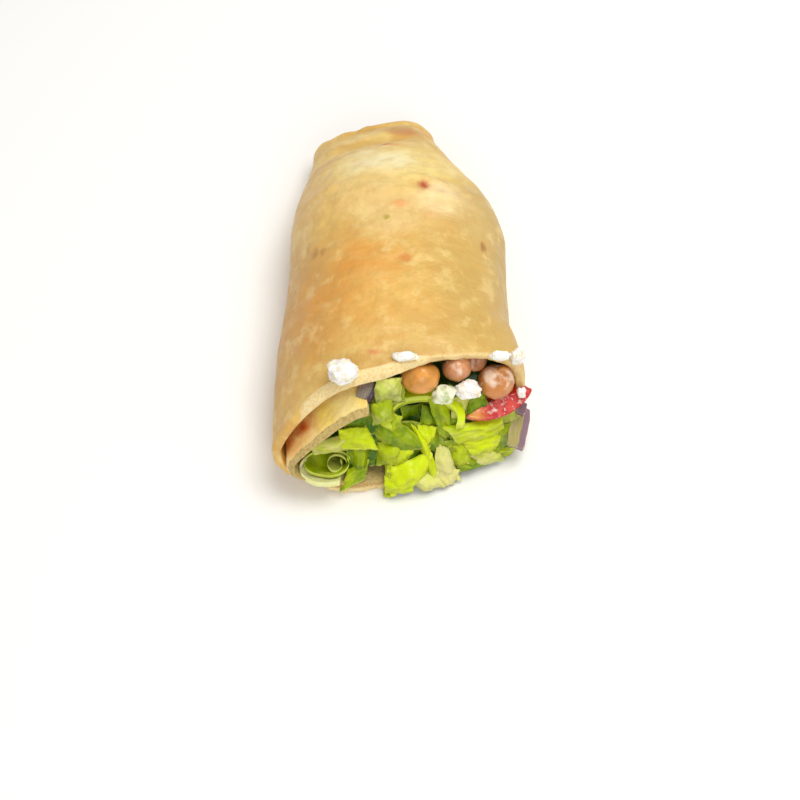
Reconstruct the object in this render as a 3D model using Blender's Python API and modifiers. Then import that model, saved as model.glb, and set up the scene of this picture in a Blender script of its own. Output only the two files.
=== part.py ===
"""Half of a salad wrap: a soft flatbread rolled round chopped lettuce, chickpeas, cheese, tomato and onion.

The roll lies on its flat underside. Its cut mouth faces -Y and its tucked end faces +Y. The origin is on the
table, under the middle of the whole. All sizes are in metres and all angles in degrees.
"""

import math
import random

import bmesh
import bpy
from mathutils import Matrix, Vector, noise

# The flatbread
BREAD = 0.0026
GAP = 0.0004
MOUTH_Y = -0.0620
TUCK_Y = 0.0560
POCKET_END_Y = 0.0490
MOUTH_HEIGHT = 0.0465
BODY_HEIGHT = 0.0440
TUCK_FOLD = 0.0035
ROUND = 40

# The middle of the finished wrap in plan, which becomes the origin
MIDDLE = Vector((0.0009, -0.0021, 0.0))

# The outer end of the flatbread, which lies over itself low on the right
SEAM = 315
SEAM_STEP = 0.0020

# The inner turn of the flatbread, seen at the left of the mouth
TURN_START = 310
TURN_END = 109
TURN_BACK_Y = 0.026
TURN_REACH = 0.0036
TURN_DROOP = 0.0044

# The cut edge: the lower lip on the right is short of the knife's path, and the hood on the left is long
LIP_BACK = 0.0042
HOOD_REACH = 0.0020
CORNER_BACK = 0.0012

# The filling's core, which stops at the knife's path, and short of it under the chickpeas
CORE_BACK_Y = 0.033
CHICKPEA_RECESS = 0.0105
CORE_CLEAR = 0.0018
CLEAR = 0.0006
LAYER = 0.00023
CUT_CLEAR = 0.00035

# The way that the pieces in the mouth face: forwards, and up by this much
FACING_UP = 60

# Chickpeas: the middle, and the half sizes across, along the roll and up
CHICKPEAS = (
    ((0.0056, -0.0468, 0.0378), (0.0058, 0.0052, 0.0050)),
    ((0.0160, -0.0434, 0.0369), (0.0043, 0.0045, 0.0045)),
    ((0.0214, -0.0386, 0.0338), (0.0037, 0.0039, 0.0037)),
    ((0.0270, -0.0450, 0.0300), (0.0052, 0.0050, 0.0052)),
)

# Cheese crumbs: the middle, and the half sizes
CRUMBS = (
    ((-0.0160, -0.0505, 0.0466), (0.0043, 0.0034, 0.0027)),
    ((0.0014, -0.0463, 0.0479), (0.0036, 0.0013, 0.0012)),
    ((0.0283, -0.0420, 0.0412), (0.0028, 0.0014, 0.0013)),
    ((0.0334, -0.0404, 0.0377), (0.0021, 0.0022, 0.0026)),
    ((0.0194, -0.0494, 0.0344), (0.0035, 0.0026, 0.0026)),
    ((0.0124, -0.0508, 0.0345), (0.0030, 0.0026, 0.0030)),
    ((0.0350, -0.0458, 0.0269), (0.0013, 0.0013, 0.0020)),
)

# The tomato slice, whose two tips lie across the mouth
TOMATO_TIPS = ((0.0188, -0.0520, 0.0238), (0.0382, -0.0433, 0.0250))
TOMATO_BULGE = (0.0012, 0.0043)
TOMATO_DEPTH = Vector((-0.0040, 0.0085, -0.0040))

# Onion pieces: middle, width, length and thickness, then spin, lean, swing and curl
ONION_BEND = 15
ONIONS = (
    ((0.0348, -0.0480, 0.0110), 0.0065, 0.0120, 0.0022, -18, 8, 30, 30),
    ((0.0352, -0.0462, 0.0190), 0.0030, 0.0034, 0.0014, -20, 0, 20, 15),
    ((-0.0092, -0.0518, 0.0388), 0.0050, 0.0054, 0.0016, -30, 0, -10, 30),
)

# Lettuce leaves, in millimetres and degrees: place across the mouth, height, how far it stands out, width,
# length, spin, skew, lean from the knife's path, swing, how much wider it is at the top, and bulge
LEAVES = (
    (-3.5, 39.5, 2.5, 7, 7, 0, 0, 0, 15, -0.1, 1.4),
    (-5, 32.5, 3, 5.5, 8, 15, 0, 0, 20, 0, 1.6),
    (-3, 23.5, 1, 3.5, 9.5, -30, 10, 0, 0, 0.1, 0.8),
    (-6, 22, 0, 5, 5.5, -5, 5, -5, 10, 0, 0.4),
    (5.5, 21, -3.5, 9.5, 7.5, 5, 5, 10, 10, -0.1, -0.6),
    (8.5, 21.5, -2, 5.5, 6.5, -15, 15, 10, 20, 0, 1),
    (-1, 21, 1.5, 8, 11.5, 20, 25, 0, 5, 0, 0.9),
    (-2.5, 15, 1.5, 7.5, 7.5, 5, 0, 0, 0, -0.1, 1.8),
    (-1, 15, 2.5, 7.5, 5.5, -10, 5, 5, 10, 0.2, 1),
    (3, 8, 3, 12, 9, 25, -15, 0, 10, 0, 1.6),
    (-3.5, 6.5, 2.5, 4, 11.5, 15, -45, 10, -50, 0.1, 0.3),
    (0, 5.5, 4, 8, 5.5, 5, -10, 0, 5, 0.1, 1),
    (8, 13.5, 2.5, 5.5, 7, -35, 65, 10, 25, 0, 0.8),
    (7.5, 18.5, 1, 4, 6.5, -5, 10, 5, 20, 0.4, 0.8),
    (13, 9.5, 2.5, 6.5, 8.5, -15, 35, 5, 25, -0.5, 1),
    (13.5, 4.5, 3.5, 6.5, 5, -5, 25, 5, 25, 0.4, 0.8),
    (8.5, 5, 4, 7.5, 5.5, 15, 20, 5, 15, 0.2, 1.2),
    (13, 14, 1, 9.5, 5.5, -25, 20, 5, 20, 0, 0.4),
    (18, 9.5, 1.5, 5.5, 7, 10, 0, 0, 20, 0.1, 0.8),
    (22.5, 16.5, 1.5, 15, 6, 10, 25, 10, 25, 0.1, 1.2),
    (24.5, 11, 2, 9.5, 5, 15, 0, 10, 25, 0.3, 0.9),
    (17, 27, 1, 4.5, 6, 10, -5, 5, 20, 0.2, 0.9),
    (16, 29.5, -0.5, 6, 4.5, -20, 15, 10, 25, 0.1, 0.3),
    (22, 25.5, 0.5, 5.5, 4, 25, -10, 10, 20, -0.2, 0.7),
    (16.5, 22.5, 1, 4, 2.5, 5, -5, 10, 20, 0.1, 0.6),
    (12, 23.5, 0.5, 5.5, 8.5, -35, 45, -5, 0, 0.3, 0.8),
    (24.5, 6, 2, 9.5, 5, 15, 15, 5, 25, -0.1, 0.8),
    (22, 4.5, 2, 9, 2.5, 15, -5, 15, 20, 0.1, 0.6),
    (30.5, 4, 1, 7.5, 2.5, -5, 10, 10, 40, 0.1, 0.5),
    (-12.5, 22, 2, 8.5, 6, 0, 20, 5, 10, -0.1, 0.7),
    (-20.5, 20.5, 1.5, 9, 3.5, 10, 10, 10, 5, -0, 0.5),
    (-11.5, 13, 1, 4, 8, 5, 0, 0, 10, 0.1, 0.9),
    (-13, 8.5, 2, 7, 4.5, 30, -45, 10, 0, -0.1, 0.6),
    (-12.5, 38.5, 0.5, 3.5, 1.5, 20, -5, 15, 0, 0.1, 0.3),
)
FACE_LEAN = -35
LEAF = 0.0011
LEAF_SPREAD = 1.14
LEAF_DOME = 0.0017
LEAF_COLUMNS = 3
LEAF_ROWS = 2

# Rolled leaves: the middle of the near end, its half width and half height, where round it the roll starts and
# ends in degrees, how far its end winds in, how much wider it is at the back, and the way that it runs back
ROLLS = (
    ((0.0069, -0.0545, 0.0268), 0.0086, 0.0050, -15, 200, 1.00, 0.34, (-0.0008, 0.0026, -0.0022)),
    ((-0.0211, -0.0622, 0.0146), 0.0070, 0.0040, 18, 384, 0.90, 0.00, (0.0004, 0.0096, -0.0078)),
    ((-0.0213, -0.0636, 0.0146), 0.0076, 0.0046, 150, 300, 0.97, 0.00, (0.0004, 0.0060, -0.0050)),
    ((-0.0189, -0.0620, 0.0137), 0.0030, 0.0031, 20, 500, 0.42, 0.00, (0.0004, 0.0070, -0.0060)),
)

# Hollows in the front of the core, between the leaves: across, height, radius and depth
HOLLOWS = (
    (0.0050, 0.0265, 0.0060, 0.0060),
    (-0.0205, 0.0120, 0.0055, 0.0070),
)


def ease(t):
    """A smooth step from 0 to 1."""
    t = min(max(t, 0.0), 1.0)
    return t * t * (3 - 2 * t)


def mix(a, b, t):
    return a + (b - a) * t


def sides(y):
    """The roll's left and right edge in plan: wide at the mouth, and tapered on the right towards the tuck."""
    left = -0.0369 + 0.0034 * ease((y + 0.045) / 0.055) + 0.0056 * ease((y - 0.010) / 0.050)
    right = 0.0364 - 0.0039 * ease((y + 0.062) / 0.034) - 0.0240 * max(0.0, (y - 0.008) / 0.052) ** 1.4
    shoulder = 0.0013 * math.exp(-(((y - 0.035) / 0.010) ** 2))
    return left, right + shoulder


def levels(y):
    """The roll's underside and top at y."""
    lifted = 0.0030 * ease((y - 0.040) / 0.022)
    top = mix(MOUTH_HEIGHT, BODY_HEIGHT, ease((y + 0.046) / 0.060))
    return lifted, top - 0.030 * max(0.0, (y - 0.014) / 0.046) ** 1.5


def squareness(y, turn):
    """The exponent of the section's outline: a slope on the left of the mouth and a shoulder on its right."""
    return 2.1 + 0.55 * math.cos(turn) * (1 - 0.5 * ease((y + 0.040) / 0.060))


def section(y, turn, inset=0.0):
    """The point of the roll's section at y, a turn round from the right, moved in by inset."""
    left, right = sides(y)
    low, high = levels(y)
    middle = mix(low, high, 0.41)
    across, up = math.cos(turn), math.sin(turn)
    power = squareness(y, turn)
    x = (left + right) / 2 + ((right - left) / 2 - inset) * math.copysign(abs(across) ** (2 / power), across)
    if up >= 0:
        return x, middle + (high - middle - inset) * up ** (2 / power)
    round_under = middle - (middle - low + 0.002 - inset) * (-up) ** (2 / 2.4)
    return x, max(low + max(inset, 0.0), round_under)


def face_y(x, z):
    """The knife's path through the roll: it leans back as it rises, and curves away to the right."""
    return MOUTH_Y + 0.33 * z + 0.12 * x + 6.0 * max(x, 0.0) ** 2


def cut_y(x, z):
    """The bread's cut edge: the lower lip and left corner are short of the knife's path, and the hood is long."""
    short = LIP_BACK * ease((x + 0.006) / 0.014) * (1 - ease((z - 0.004) / 0.018))
    hood = ease((0.004 - x) / 0.010) * (1 - 0.6 * ease((-x - 0.006) / 0.016))
    long = HOOD_REACH * hood * ease((z - 0.016) / 0.010)
    corner = CORNER_BACK * ease((-x - 0.020) / 0.006) * (1 - ease((z - 0.002) / 0.014))
    return face_y(x, z) + short + corner - long


def slant(x):
    """How far the tucked end is drawn out at x. It runs back to the left, and its right corner is round."""
    return 0.28 * (x + 0.0107) + 0.0008 - 45.0 * max(0.0, x) ** 2


def rolled(turn, y, inset=0.0, ahead=0.0):
    """A point of the roll at nominal length y, which follows the cut at the mouth and the slant at the tuck."""
    x, z = section(y, turn, inset)
    t = (y - MOUTH_Y) / (TUCK_Y - MOUTH_Y)
    to_cut = (cut_y(x, z) - MOUTH_Y) * (1 - ease(t / 0.5))
    to_tuck = slant(x) * ease((y - 0.020) / 0.040)
    return Vector((x, y + to_cut + to_tuck - ahead, z))


def tucked(turn, fold):
    """The end of the roll, where the bread folds in: fold 0 is the outer edge and 1 is inside the slit."""
    low, high = levels(TUCK_Y)
    slit = 0.0006
    swing = math.pi * min(fold / 0.75, 1.0)
    inward = max(0.0, (fold - 0.75) / 0.25)
    closed = (1 - math.cos(swing)) / 2
    left, right = sides(TUCK_Y)
    x, z = section(TUCK_Y, turn)
    x = mix(x, (left + right) / 2, 0.28 * closed)
    z = mix(low, high, 0.5) + (z - mix(low, high, 0.5)) * mix(1.0, slit / (high - low), closed)
    y = TUCK_Y + TUCK_FOLD * math.sin(swing) - 0.004 * inward + slant(x) * ease((TUCK_Y - 0.020) / 0.040)
    return Vector((x, y, z))


def crease(point):
    """How far the valley in front of the tucked end pulls a point of the top down."""
    across = ease((point.x + 0.030) / 0.006) * (1 - ease(point.x / 0.012))
    valley_y = 0.0425 + 0.22 * (point.x + 0.020)
    return 0.0020 * across * math.exp(-(((point.y - valley_y) / 0.0034) ** 2))


def seam_step(turn, y):
    """How far the outer end of the flatbread stands proud of the turn that it lies on."""
    degrees = math.degrees(turn)
    if not SEAM - 30 < degrees <= SEAM + 0.1:
        return 0.0
    return SEAM_STEP * ease((degrees - SEAM + 30) / 24) * (1 - ease((y - 0.030) / 0.015))


def turn_share(turn):
    """How far round the inner turn of the flatbread a direction is, from 0 at its root to 1 at its end."""
    degrees = math.degrees(turn) % 360
    return (TURN_START - degrees) / (TURN_START - TURN_END)


def turn_inset(share, y):
    """How deep the middle of the inner turn lies under the roll's outside. At the mouth it droops."""
    droop = TURN_DROOP * ease((share - 0.52) / 0.35) * (1 - ease((y - MOUTH_Y) / 0.016))
    return mix(BREAD / 2, BREAD + GAP + BREAD / 2, ease(share / 0.22)) + droop


def turn_reach(share):
    """How far the inner turn shows in front of the hood."""
    return TURN_REACH * ease((share - 0.35) / 0.3) * (1 - 0.25 * ease((share - 0.8) / 0.2))


def lining(turn, y):
    """The bread's thickness at a turn: one layer, or two where the inner turn lies inside."""
    share = turn_share(turn)
    if -0.06 < share < 1.02 and y < TURN_BACK_Y + 0.006:
        return turn_inset(share, y) + BREAD / 2
    return BREAD


def held_in(point, margin):
    """A point of the filling, pulled in from the bread round it. In front of the mouth it is free."""
    y = MOUTH_Y + point.y - cut_y(point.x, point.z)
    left, right = sides(y)
    low, high = levels(y)
    middle = mix(low, high, 0.41)
    x = point.x - (left + right) / 2
    z = point.z - middle
    turn = math.atan2(z / (high - middle), x / ((right - left) / 2)) % (2 * math.pi)
    share = turn_share(turn)
    reach = turn_reach(share) if -0.06 < share < 1.02 else 0.0
    if y < MOUTH_Y - reach - margin:
        return Vector((point.x, point.y, max(point.z, margin)))
    inset = lining(turn, y) + margin
    half_width = (right - left) / 2 - inset
    power = squareness(y, turn)
    if z >= 0:
        half_height = high - middle - inset
    else:
        half_height = middle - low - inset
        power = 2.4
    outside = (abs(x) / half_width) ** power + (abs(z) / half_height) ** power
    if outside <= 1:
        return point
    pull = outside ** (-1 / power)
    return Vector(((left + right) / 2 + x * pull, point.y, middle + z * pull))


def material(name, colour, roughness):
    made = bpy.data.materials.new(name)
    made.use_nodes = True
    shader = made.node_tree.nodes["Principled BSDF"]
    shader.inputs["Base Color"].default_value = (*colour, 1.0)
    shader.inputs["Roughness"].default_value = roughness
    shader.inputs["Metallic"].default_value = 0.0
    made.diffuse_color = (*colour, 1.0)
    return made


def object_from(bm, name, collection, finish=None):
    """A closed mesh object made from bm, its faces pointing out."""
    bmesh.ops.recalc_face_normals(bm, faces=bm.faces)
    if all(edge.is_manifold for edge in bm.edges) and bm.calc_volume(signed=True) < 0:
        bmesh.ops.reverse_faces(bm, faces=bm.faces)
    mesh = bpy.data.meshes.new(name)
    bm.to_mesh(mesh)
    bm.free()
    mesh.shade_smooth()
    made = bpy.data.objects.new(name, mesh)
    collection.objects.link(made)
    if finish:
        mesh.materials.append(finish)
    return made


def sheet(columns, rows, place):
    """A sheet of triangles, each of whose points place(across, along) puts where it belongs."""
    bm = bmesh.new()
    bmesh.ops.create_grid(bm, x_segments=columns, y_segments=rows, size=0.5)
    for vert in bm.verts:
        vert.co = place(vert.co.x + 0.5, vert.co.y + 0.5)
    bmesh.ops.triangulate(bm, faces=bm.faces)
    return bm


def tube(columns, rows, place):
    """A sheet wrapped into a tube whose ends are shut."""
    bm = sheet(columns, rows, lambda across, along: place(2 * math.pi * across, along))
    bmesh.ops.remove_doubles(bm, verts=bm.verts, dist=1e-6)
    bmesh.ops.holes_fill(bm, edges=[edge for edge in bm.edges if edge.is_boundary], sides=0)
    bmesh.ops.triangulate(bm, faces=bm.faces)
    return bm


def thicken(target, thickness):
    """Gives a sheet its thickness, half to each side."""
    solidify = target.modifiers.new("Thickness", "SOLIDIFY")
    solidify.thickness = thickness
    solidify.offset = 0.0


def apply_modifiers(target):
    """Turns what the modifiers show into the object's own mesh."""
    bpy.context.view_layer.update()
    seen = target.evaluated_get(bpy.context.evaluated_depsgraph_get())
    mesh = bpy.data.meshes.new_from_object(seen)
    target.modifiers.clear()
    target.data = mesh


def combine(target, operation, other, solver="EXACT"):
    """Cuts target with another object or collection, or fuses them, and removes what it used."""
    boolean = target.modifiers.new(operation.title(), "BOOLEAN")
    boolean.operation = operation
    boolean.solver = solver
    used = [other]
    if isinstance(other, bpy.types.Collection):
        boolean.operand_type = "COLLECTION"
        boolean.collection = other
        used = list(other.objects)
    else:
        boolean.object = other
    apply_modifiers(target)
    for cutter in used:
        bpy.data.objects.remove(cutter)


def grown(source, by, collection):
    """A copy of an object, moved outwards all over, for cutting room round it."""
    copy = bpy.data.objects.new(source.name + "_room", source.data.copy())
    collection.objects.link(copy)
    swell = copy.modifiers.new("Swell", "DISPLACE")
    swell.strength = by
    swell.mid_level = 0.0
    apply_modifiers(copy)
    return copy


def make_room(target, neighbours, helpers):
    """Cuts target back from its neighbours, so that a gap is left between them."""
    for neighbour in neighbours:
        combine(target, "DIFFERENCE", grown(neighbour, CUT_CLEAR, helpers), "MANIFOLD")


def clean_up(target):
    """Drops the loose scraps that cuts leave."""
    bm = bmesh.new()
    bm.from_mesh(target.data)
    left = set(bm.faces)
    islands = []
    while left:
        island = [left.pop()]
        for face in island:
            for edge in face.edges:
                joined = left.intersection(edge.link_faces)
                left -= joined
                island.extend(joined)
        islands.append(island)
    islands.sort(key=len)
    for scrap in islands[:-1]:
        bmesh.ops.delete(bm, geom=scrap, context="FACES")
    bm.to_mesh(target.data)
    bm.free()


def facing(middle, spin, lean, swing):
    """Where a piece in the mouth goes. Unturned, it faces forwards and up, and its length runs up the mouth."""
    up = Matrix.Rotation(math.radians(90 - FACING_UP), 4, "X")
    turned = Matrix.Rotation(math.radians(spin), 4, "Z")
    turned = Matrix.Rotation(math.radians(-lean), 4, "X") @ turned
    turned = Matrix.Rotation(math.radians(swing), 4, "Y") @ turned
    return Matrix.Translation(middle) @ up @ turned


def curved(wide, long, curl, bend, across, along):
    """A point of a slip: curled round its length by curl, and bent over its width by bend."""
    turn = math.radians(curl) * across
    radius = wide / max(math.radians(curl), 0.01)
    dip = math.radians(bend) * along
    bent_radius = long / max(math.radians(bend), 0.01)
    rounding = 1 - 0.16 * abs(2 * along) ** 3
    x = radius * math.sin(turn * rounding)
    z = radius * (math.cos(turn * rounding) - 1) + bent_radius * (math.cos(dip) - 1)
    return Vector((x, bent_radius * math.sin(dip), z))


def make_flatbread(wrap, helpers, finish):
    """The outer turn is a hollow sack with a tucked end. The inner turn is a sheet that joins its wall."""
    body_share = 0.74
    column = 360 / ROUND

    def outside(turn, along):
        degrees = math.degrees(turn)
        if SEAM + 0.1 < degrees < SEAM + column + 0.1:
            turn = math.radians(SEAM + 1.5)
        if along <= body_share:
            y = mix(MOUTH_Y, TUCK_Y, along / body_share)
            point = rolled(turn, y, -seam_step(turn, y))
        else:
            point = tucked(turn, (along - body_share) / (1 - body_share))
        point.z -= crease(point) * max(0.0, math.sin(turn))
        return point

    def inside(turn, along):
        y = mix(MOUTH_Y, POCKET_END_Y, along)
        point = rolled(turn, y, BREAD + 0.0015 * ease((along - 0.8) / 0.2), 0.012 * max(0.0, 1 - along / 0.1))
        point.z -= crease(point) * max(0.0, math.sin(turn))
        return point

    def inner_turn(across, along):
        turn = math.radians(mix(TURN_START, TURN_END, across))
        y = mix(MOUTH_Y, TURN_BACK_Y, along)
        return rolled(turn, y, turn_inset(across, y), turn_reach(across) * (1 - along) ** 4)

    bread = object_from(tube(ROUND, 25, outside), "flatbread", wrap, finish)
    hollow = object_from(tube(ROUND, 18, inside), "hollow", helpers)
    turn = object_from(sheet(22, 8, inner_turn), "inner_turn", helpers)
    thicken(turn, BREAD - 0.0002)
    combine(bread, "DIFFERENCE", hollow)
    combine(bread, "UNION", turn)
    return bread


def make_chickpeas(wrap, finish):
    """Each is an uneven ball with a small beak and a groove under it."""
    made = []
    for number, (middle, half) in enumerate(CHICKPEAS, 1):
        bm = bmesh.new()
        bmesh.ops.create_uvsphere(bm, u_segments=14, v_segments=9, radius=1.0)
        draw = random.Random(number)
        turned = Matrix.Rotation(draw.uniform(0, 2 * math.pi), 3, "Z")
        for vert in bm.verts:
            beak = 0.10 * math.exp(-((vert.co - Vector((0, 0, 1))).length / 0.35) ** 2)
            groove = 0.09 * math.exp(-((vert.co.y / 0.25) ** 2)) * ease((vert.co.z + 0.1) / 0.5)
            uneven = 0.05 * noise.noise(vert.co * 1.6 + Vector((number, 0, 0)))
            vert.co = turned @ (vert.co * (0.98 + beak - groove + uneven))
            vert.co = Vector([middle[axis] + half[axis] * vert.co[axis] for axis in range(3)])
        made.append(object_from(bm, f"chickpea_{number}", wrap, finish))
    return made


def make_crumbs(wrap, finish):
    """Each is a broken lump with flat facets."""
    made = []
    for number, (middle, half) in enumerate(CRUMBS, 1):
        bm = bmesh.new()
        bmesh.ops.create_icosphere(bm, subdivisions=2, radius=1.0)
        for vert in bm.verts:
            seat = vert.co * 1.7 + Vector((3.1 * number, 0, 0))
            vert.co *= 1.0 + 0.28 * noise.noise(seat) + 0.10 * noise.noise(seat * 2.3)
            vert.co = Vector([middle[axis] + half[axis] * vert.co[axis] for axis in range(3)])
        made.append(object_from(bm, f"cheese_crumb_{number}", wrap, finish))
    return made


def make_tomato(wrap, finish):
    """A slice's rim: a long lens between two tips, which narrows into the filling."""
    start, end = (Vector(tip) for tip in TOMATO_TIPS)
    over, under = TOMATO_BULGE
    along = end - start
    out = Vector((0, -math.cos(math.radians(FACING_UP)), math.sin(math.radians(FACING_UP))))
    up = out.cross(along).normalized()
    bm = bmesh.new()
    bmesh.ops.create_circle(bm, cap_ends=True, segments=28, radius=1.0)
    for vert in bm.verts:
        height = (over if vert.co.y > 0 else under) * vert.co.y
        swell = 1 - 0.25 * vert.co.x ** 2
        vert.co = start + along * (vert.co.x + 1) / 2 + up * height * swell
    pushed = bmesh.ops.extrude_face_region(bm, geom=list(bm.faces))
    moved = [item for item in pushed["geom"] if isinstance(item, bmesh.types.BMVert)]
    middle = start + along / 2
    for vert in moved:
        vert.co = middle + (vert.co - middle) * 0.72 + TOMATO_DEPTH
    rims = [edge for edge in bm.edges if len({vert in moved for vert in edge.verts}) == 1]
    rims = [edge for edge in rims if edge.calc_face_angle(0.0) > 0.5]
    bmesh.ops.bevel(bm, geom=rims, offset=0.0004, offset_type="OFFSET", segments=2, profile=0.5,
                    affect="EDGES", material=-1, clamp_overlap=True)
    bmesh.ops.remove_doubles(bm, verts=bm.verts, dist=0.00001)
    return object_from(bm, "tomato_slice", wrap, finish)


def make_onion(name, wrap, finish, shape):
    """A slip of onion, as a thin curved solid."""
    middle, wide, long, thick, spin, lean, swing, curl = shape
    place = facing(middle, spin, lean, swing)

    def slip(across, along):
        point = curved(wide, long, curl, ONION_BEND, across - 0.5, along - 0.5)
        frill = 0.055 * wide * math.sin(9 * along + 40 * middle[0] / wide) * abs(across - 0.5)
        return place @ (point + Vector((0, 0, frill)))

    piece = object_from(sheet(3, 5, slip), name, wrap, finish)
    thicken(piece, thick)
    apply_modifiers(piece)
    return piece


def patch_leaf(shape, margin, number):
    """A cut piece of leaf on the knife's path through the heap, bulged out and ruffled."""
    x, z, out, wide, long, spin, skew, lean, swing, taper, bulge = shape
    middle = Vector((x / 1000, face_y(x / 1000, z / 1000) - out / 1000, z / 1000))
    place = facing(middle, spin, FACE_LEAN + lean, swing)
    wide, long = LEAF_SPREAD * wide / 1000, LEAF_SPREAD * long / 1000
    size = math.hypot(wide, long)

    def put(across, along):
        side, end = across - 0.5, along - 0.5
        left_over = side * wide * (1 + 2 * taper * end) - end * long * math.tan(math.radians(skew))
        dome = 16 * across * (1 - across) * along * (1 - along)
        ruffle = 0.10 * size * noise.noise(Vector((2.4 * across, 2.4 * along, 3.7 * number)))
        return held_in(place @ Vector((left_over, end * long, LEAF_DOME * bulge * dome + ruffle)), margin)

    return sheet(LEAF_COLUMNS, LEAF_ROWS, put)


def rolled_leaf(roll, margin):
    """A leaf rolled round a line that runs back from its open near end, which faces forwards and up."""
    middle, half_wide, half_tall, start, end, winding, flare, back = roll
    up = Vector((0, math.sin(math.radians(FACING_UP)), math.cos(math.radians(FACING_UP))))
    columns = max(6, round((end - start) / 26))

    def put(across, along):
        turn = math.radians(mix(start, end, across))
        ring = Vector((half_wide * math.cos(turn), 0, 0)) + half_tall * math.sin(turn) * up
        point = Vector(middle) + ring * mix(1, winding, across) * (1 + flare * along) + Vector(back) * along
        return held_in(point, margin)

    return sheet(columns, 2, put)


def make_salad(wrap, helpers, finish, toppings):
    """The lettuce: a core through the roll, the leaves that show at the mouth, and room for what lies on it."""
    nose_share = 0.3

    def front_y(x, z):
        """The heap's front, between and behind the leaves that show."""
        short = CHICKPEA_RECESS * ease((z - 0.026) / 0.008) * ease((x + 0.002) / 0.004)
        for across, height, radius, depth in HOLLOWS:
            short += depth * math.exp(-(((x - across) ** 2 + (z - height) ** 2) / radius ** 2))
        return face_y(x, z) + short + 0.0010 * noise.noise(Vector((x, 0, z)) * 260)

    def core(turn, along):
        share = max(0.0, (along - nose_share) / (1 - nose_share))
        y = mix(MOUTH_Y, CORE_BACK_Y, share)
        point = rolled(turn, y, lining(turn, y) + CORE_CLEAR)
        if along < nose_share:
            spread = along / nose_share
            point.x = mix(0, point.x, spread)
            point.z = mix(0.019, point.z, spread)
        point.y += (front_y(point.x, point.z) - cut_y(point.x, point.z)) * (1 - ease(share / 0.35))
        if along < nose_share:
            point.y = front_y(point.x, point.z)
        return point

    salad = object_from(tube(30, 18, core), "salad", wrap, finish)
    leaves = bpy.data.collections.new("leaves")
    bpy.context.scene.collection.children.link(leaves)
    sheets = []
    for number, shape in enumerate(LEAVES):
        sheets.append(patch_leaf(shape, CLEAR + LEAF / 2 + LAYER * (number % 6), number))
    for number, roll in enumerate(ROLLS):
        sheets.append(rolled_leaf(roll, CLEAR + LEAF / 2 + LAYER * number))
    for leaf in sheets:
        piece = object_from(leaf, "leaf", leaves, finish)
        thicken(piece, LEAF)
        apply_modifiers(piece)
    combine(salad, "UNION", leaves, "MANIFOLD")
    bpy.data.collections.remove(leaves)
    for topping in toppings:
        combine(salad, "DIFFERENCE", grown(topping, CUT_CLEAR, helpers), "MANIFOLD")
    clean_up(salad)
    return salad


def main():
    for old in list(bpy.data.objects):
        bpy.data.objects.remove(old)
    wrap = bpy.data.collections.new("sandwich_wrap")
    helpers = bpy.data.collections.new("cutters")
    for collection in (wrap, helpers):
        bpy.context.scene.collection.children.link(collection)
    bread = make_flatbread(wrap, helpers, material("flatbread", (0.72, 0.47, 0.20), 0.6))
    chickpeas = make_chickpeas(wrap, material("chickpea", (0.62, 0.31, 0.10), 0.45))
    crumbs = make_crumbs(wrap, material("white_cheese", (0.93, 0.91, 0.84), 0.7))
    tomato = make_tomato(wrap, material("tomato", (0.62, 0.08, 0.05), 0.3))
    red_onion = material("red_onion", (0.45, 0.28, 0.30), 0.4)
    onions = []
    for number, shape in enumerate(ONIONS, 1):
        onions.append(make_onion(f"onion_slice_{number}", wrap, red_onion, shape))
    make_room(tomato, [bread, *chickpeas, *crumbs], helpers)
    for onion in onions:
        make_room(onion, [bread, tomato], helpers)
        clean_up(onion)
    toppings = [*chickpeas, *crumbs, tomato, *onions]
    make_salad(wrap, helpers, material("lettuce", (0.42, 0.55, 0.03), 0.4), toppings)
    for piece in wrap.objects:
        piece.data.transform(Matrix.Translation(-MIDDLE))


main()
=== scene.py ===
"""Half of a salad wrap: flatbread rolled round chopped lettuce, chickpeas, cheese, tomato and red onion."""

import math
import random

import bmesh
import bpy
from mathutils import Matrix, Vector, noise


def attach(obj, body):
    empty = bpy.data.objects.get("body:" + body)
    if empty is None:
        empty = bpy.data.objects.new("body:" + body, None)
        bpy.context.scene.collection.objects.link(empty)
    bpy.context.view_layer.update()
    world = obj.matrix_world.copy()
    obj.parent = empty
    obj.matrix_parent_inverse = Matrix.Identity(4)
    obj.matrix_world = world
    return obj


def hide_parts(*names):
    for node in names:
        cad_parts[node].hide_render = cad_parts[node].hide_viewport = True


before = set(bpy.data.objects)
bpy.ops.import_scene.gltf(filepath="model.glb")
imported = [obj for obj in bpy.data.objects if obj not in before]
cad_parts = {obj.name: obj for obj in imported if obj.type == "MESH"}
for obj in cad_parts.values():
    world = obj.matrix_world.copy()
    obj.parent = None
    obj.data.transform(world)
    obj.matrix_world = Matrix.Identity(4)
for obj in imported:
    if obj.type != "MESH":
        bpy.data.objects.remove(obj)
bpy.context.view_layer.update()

# The camera looks down on the mouth of the wrap from in front. The wrap stands on a pale table, under one
# large soft lamp above it, a weaker one in front, and an even pale sky.
ELEVATION = math.radians(60)
AIM = Vector((-0.0009, -0.0439, 0.0230))
DISTANCE = 0.520
FOCAL_LENGTH_MM = 80.73
SENSOR_MM = 36.0
SKY_COLOUR = (1.0, 0.99, 0.97, 1.0)
SKY_STRENGTH = 0.44
lens = bpy.data.cameras.new("camera")
lens.lens = FOCAL_LENGTH_MM
lens.sensor_width = SENSOR_MM
lens.clip_start = 0.01
camera = bpy.data.objects.new("camera", lens)
camera.location = AIM + DISTANCE * Vector((0, -math.cos(ELEVATION), math.sin(ELEVATION)))
camera.rotation_euler = (math.pi / 2 - ELEVATION, 0, 0)
bpy.context.scene.collection.objects.link(camera)
bpy.context.scene.camera = camera

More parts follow.
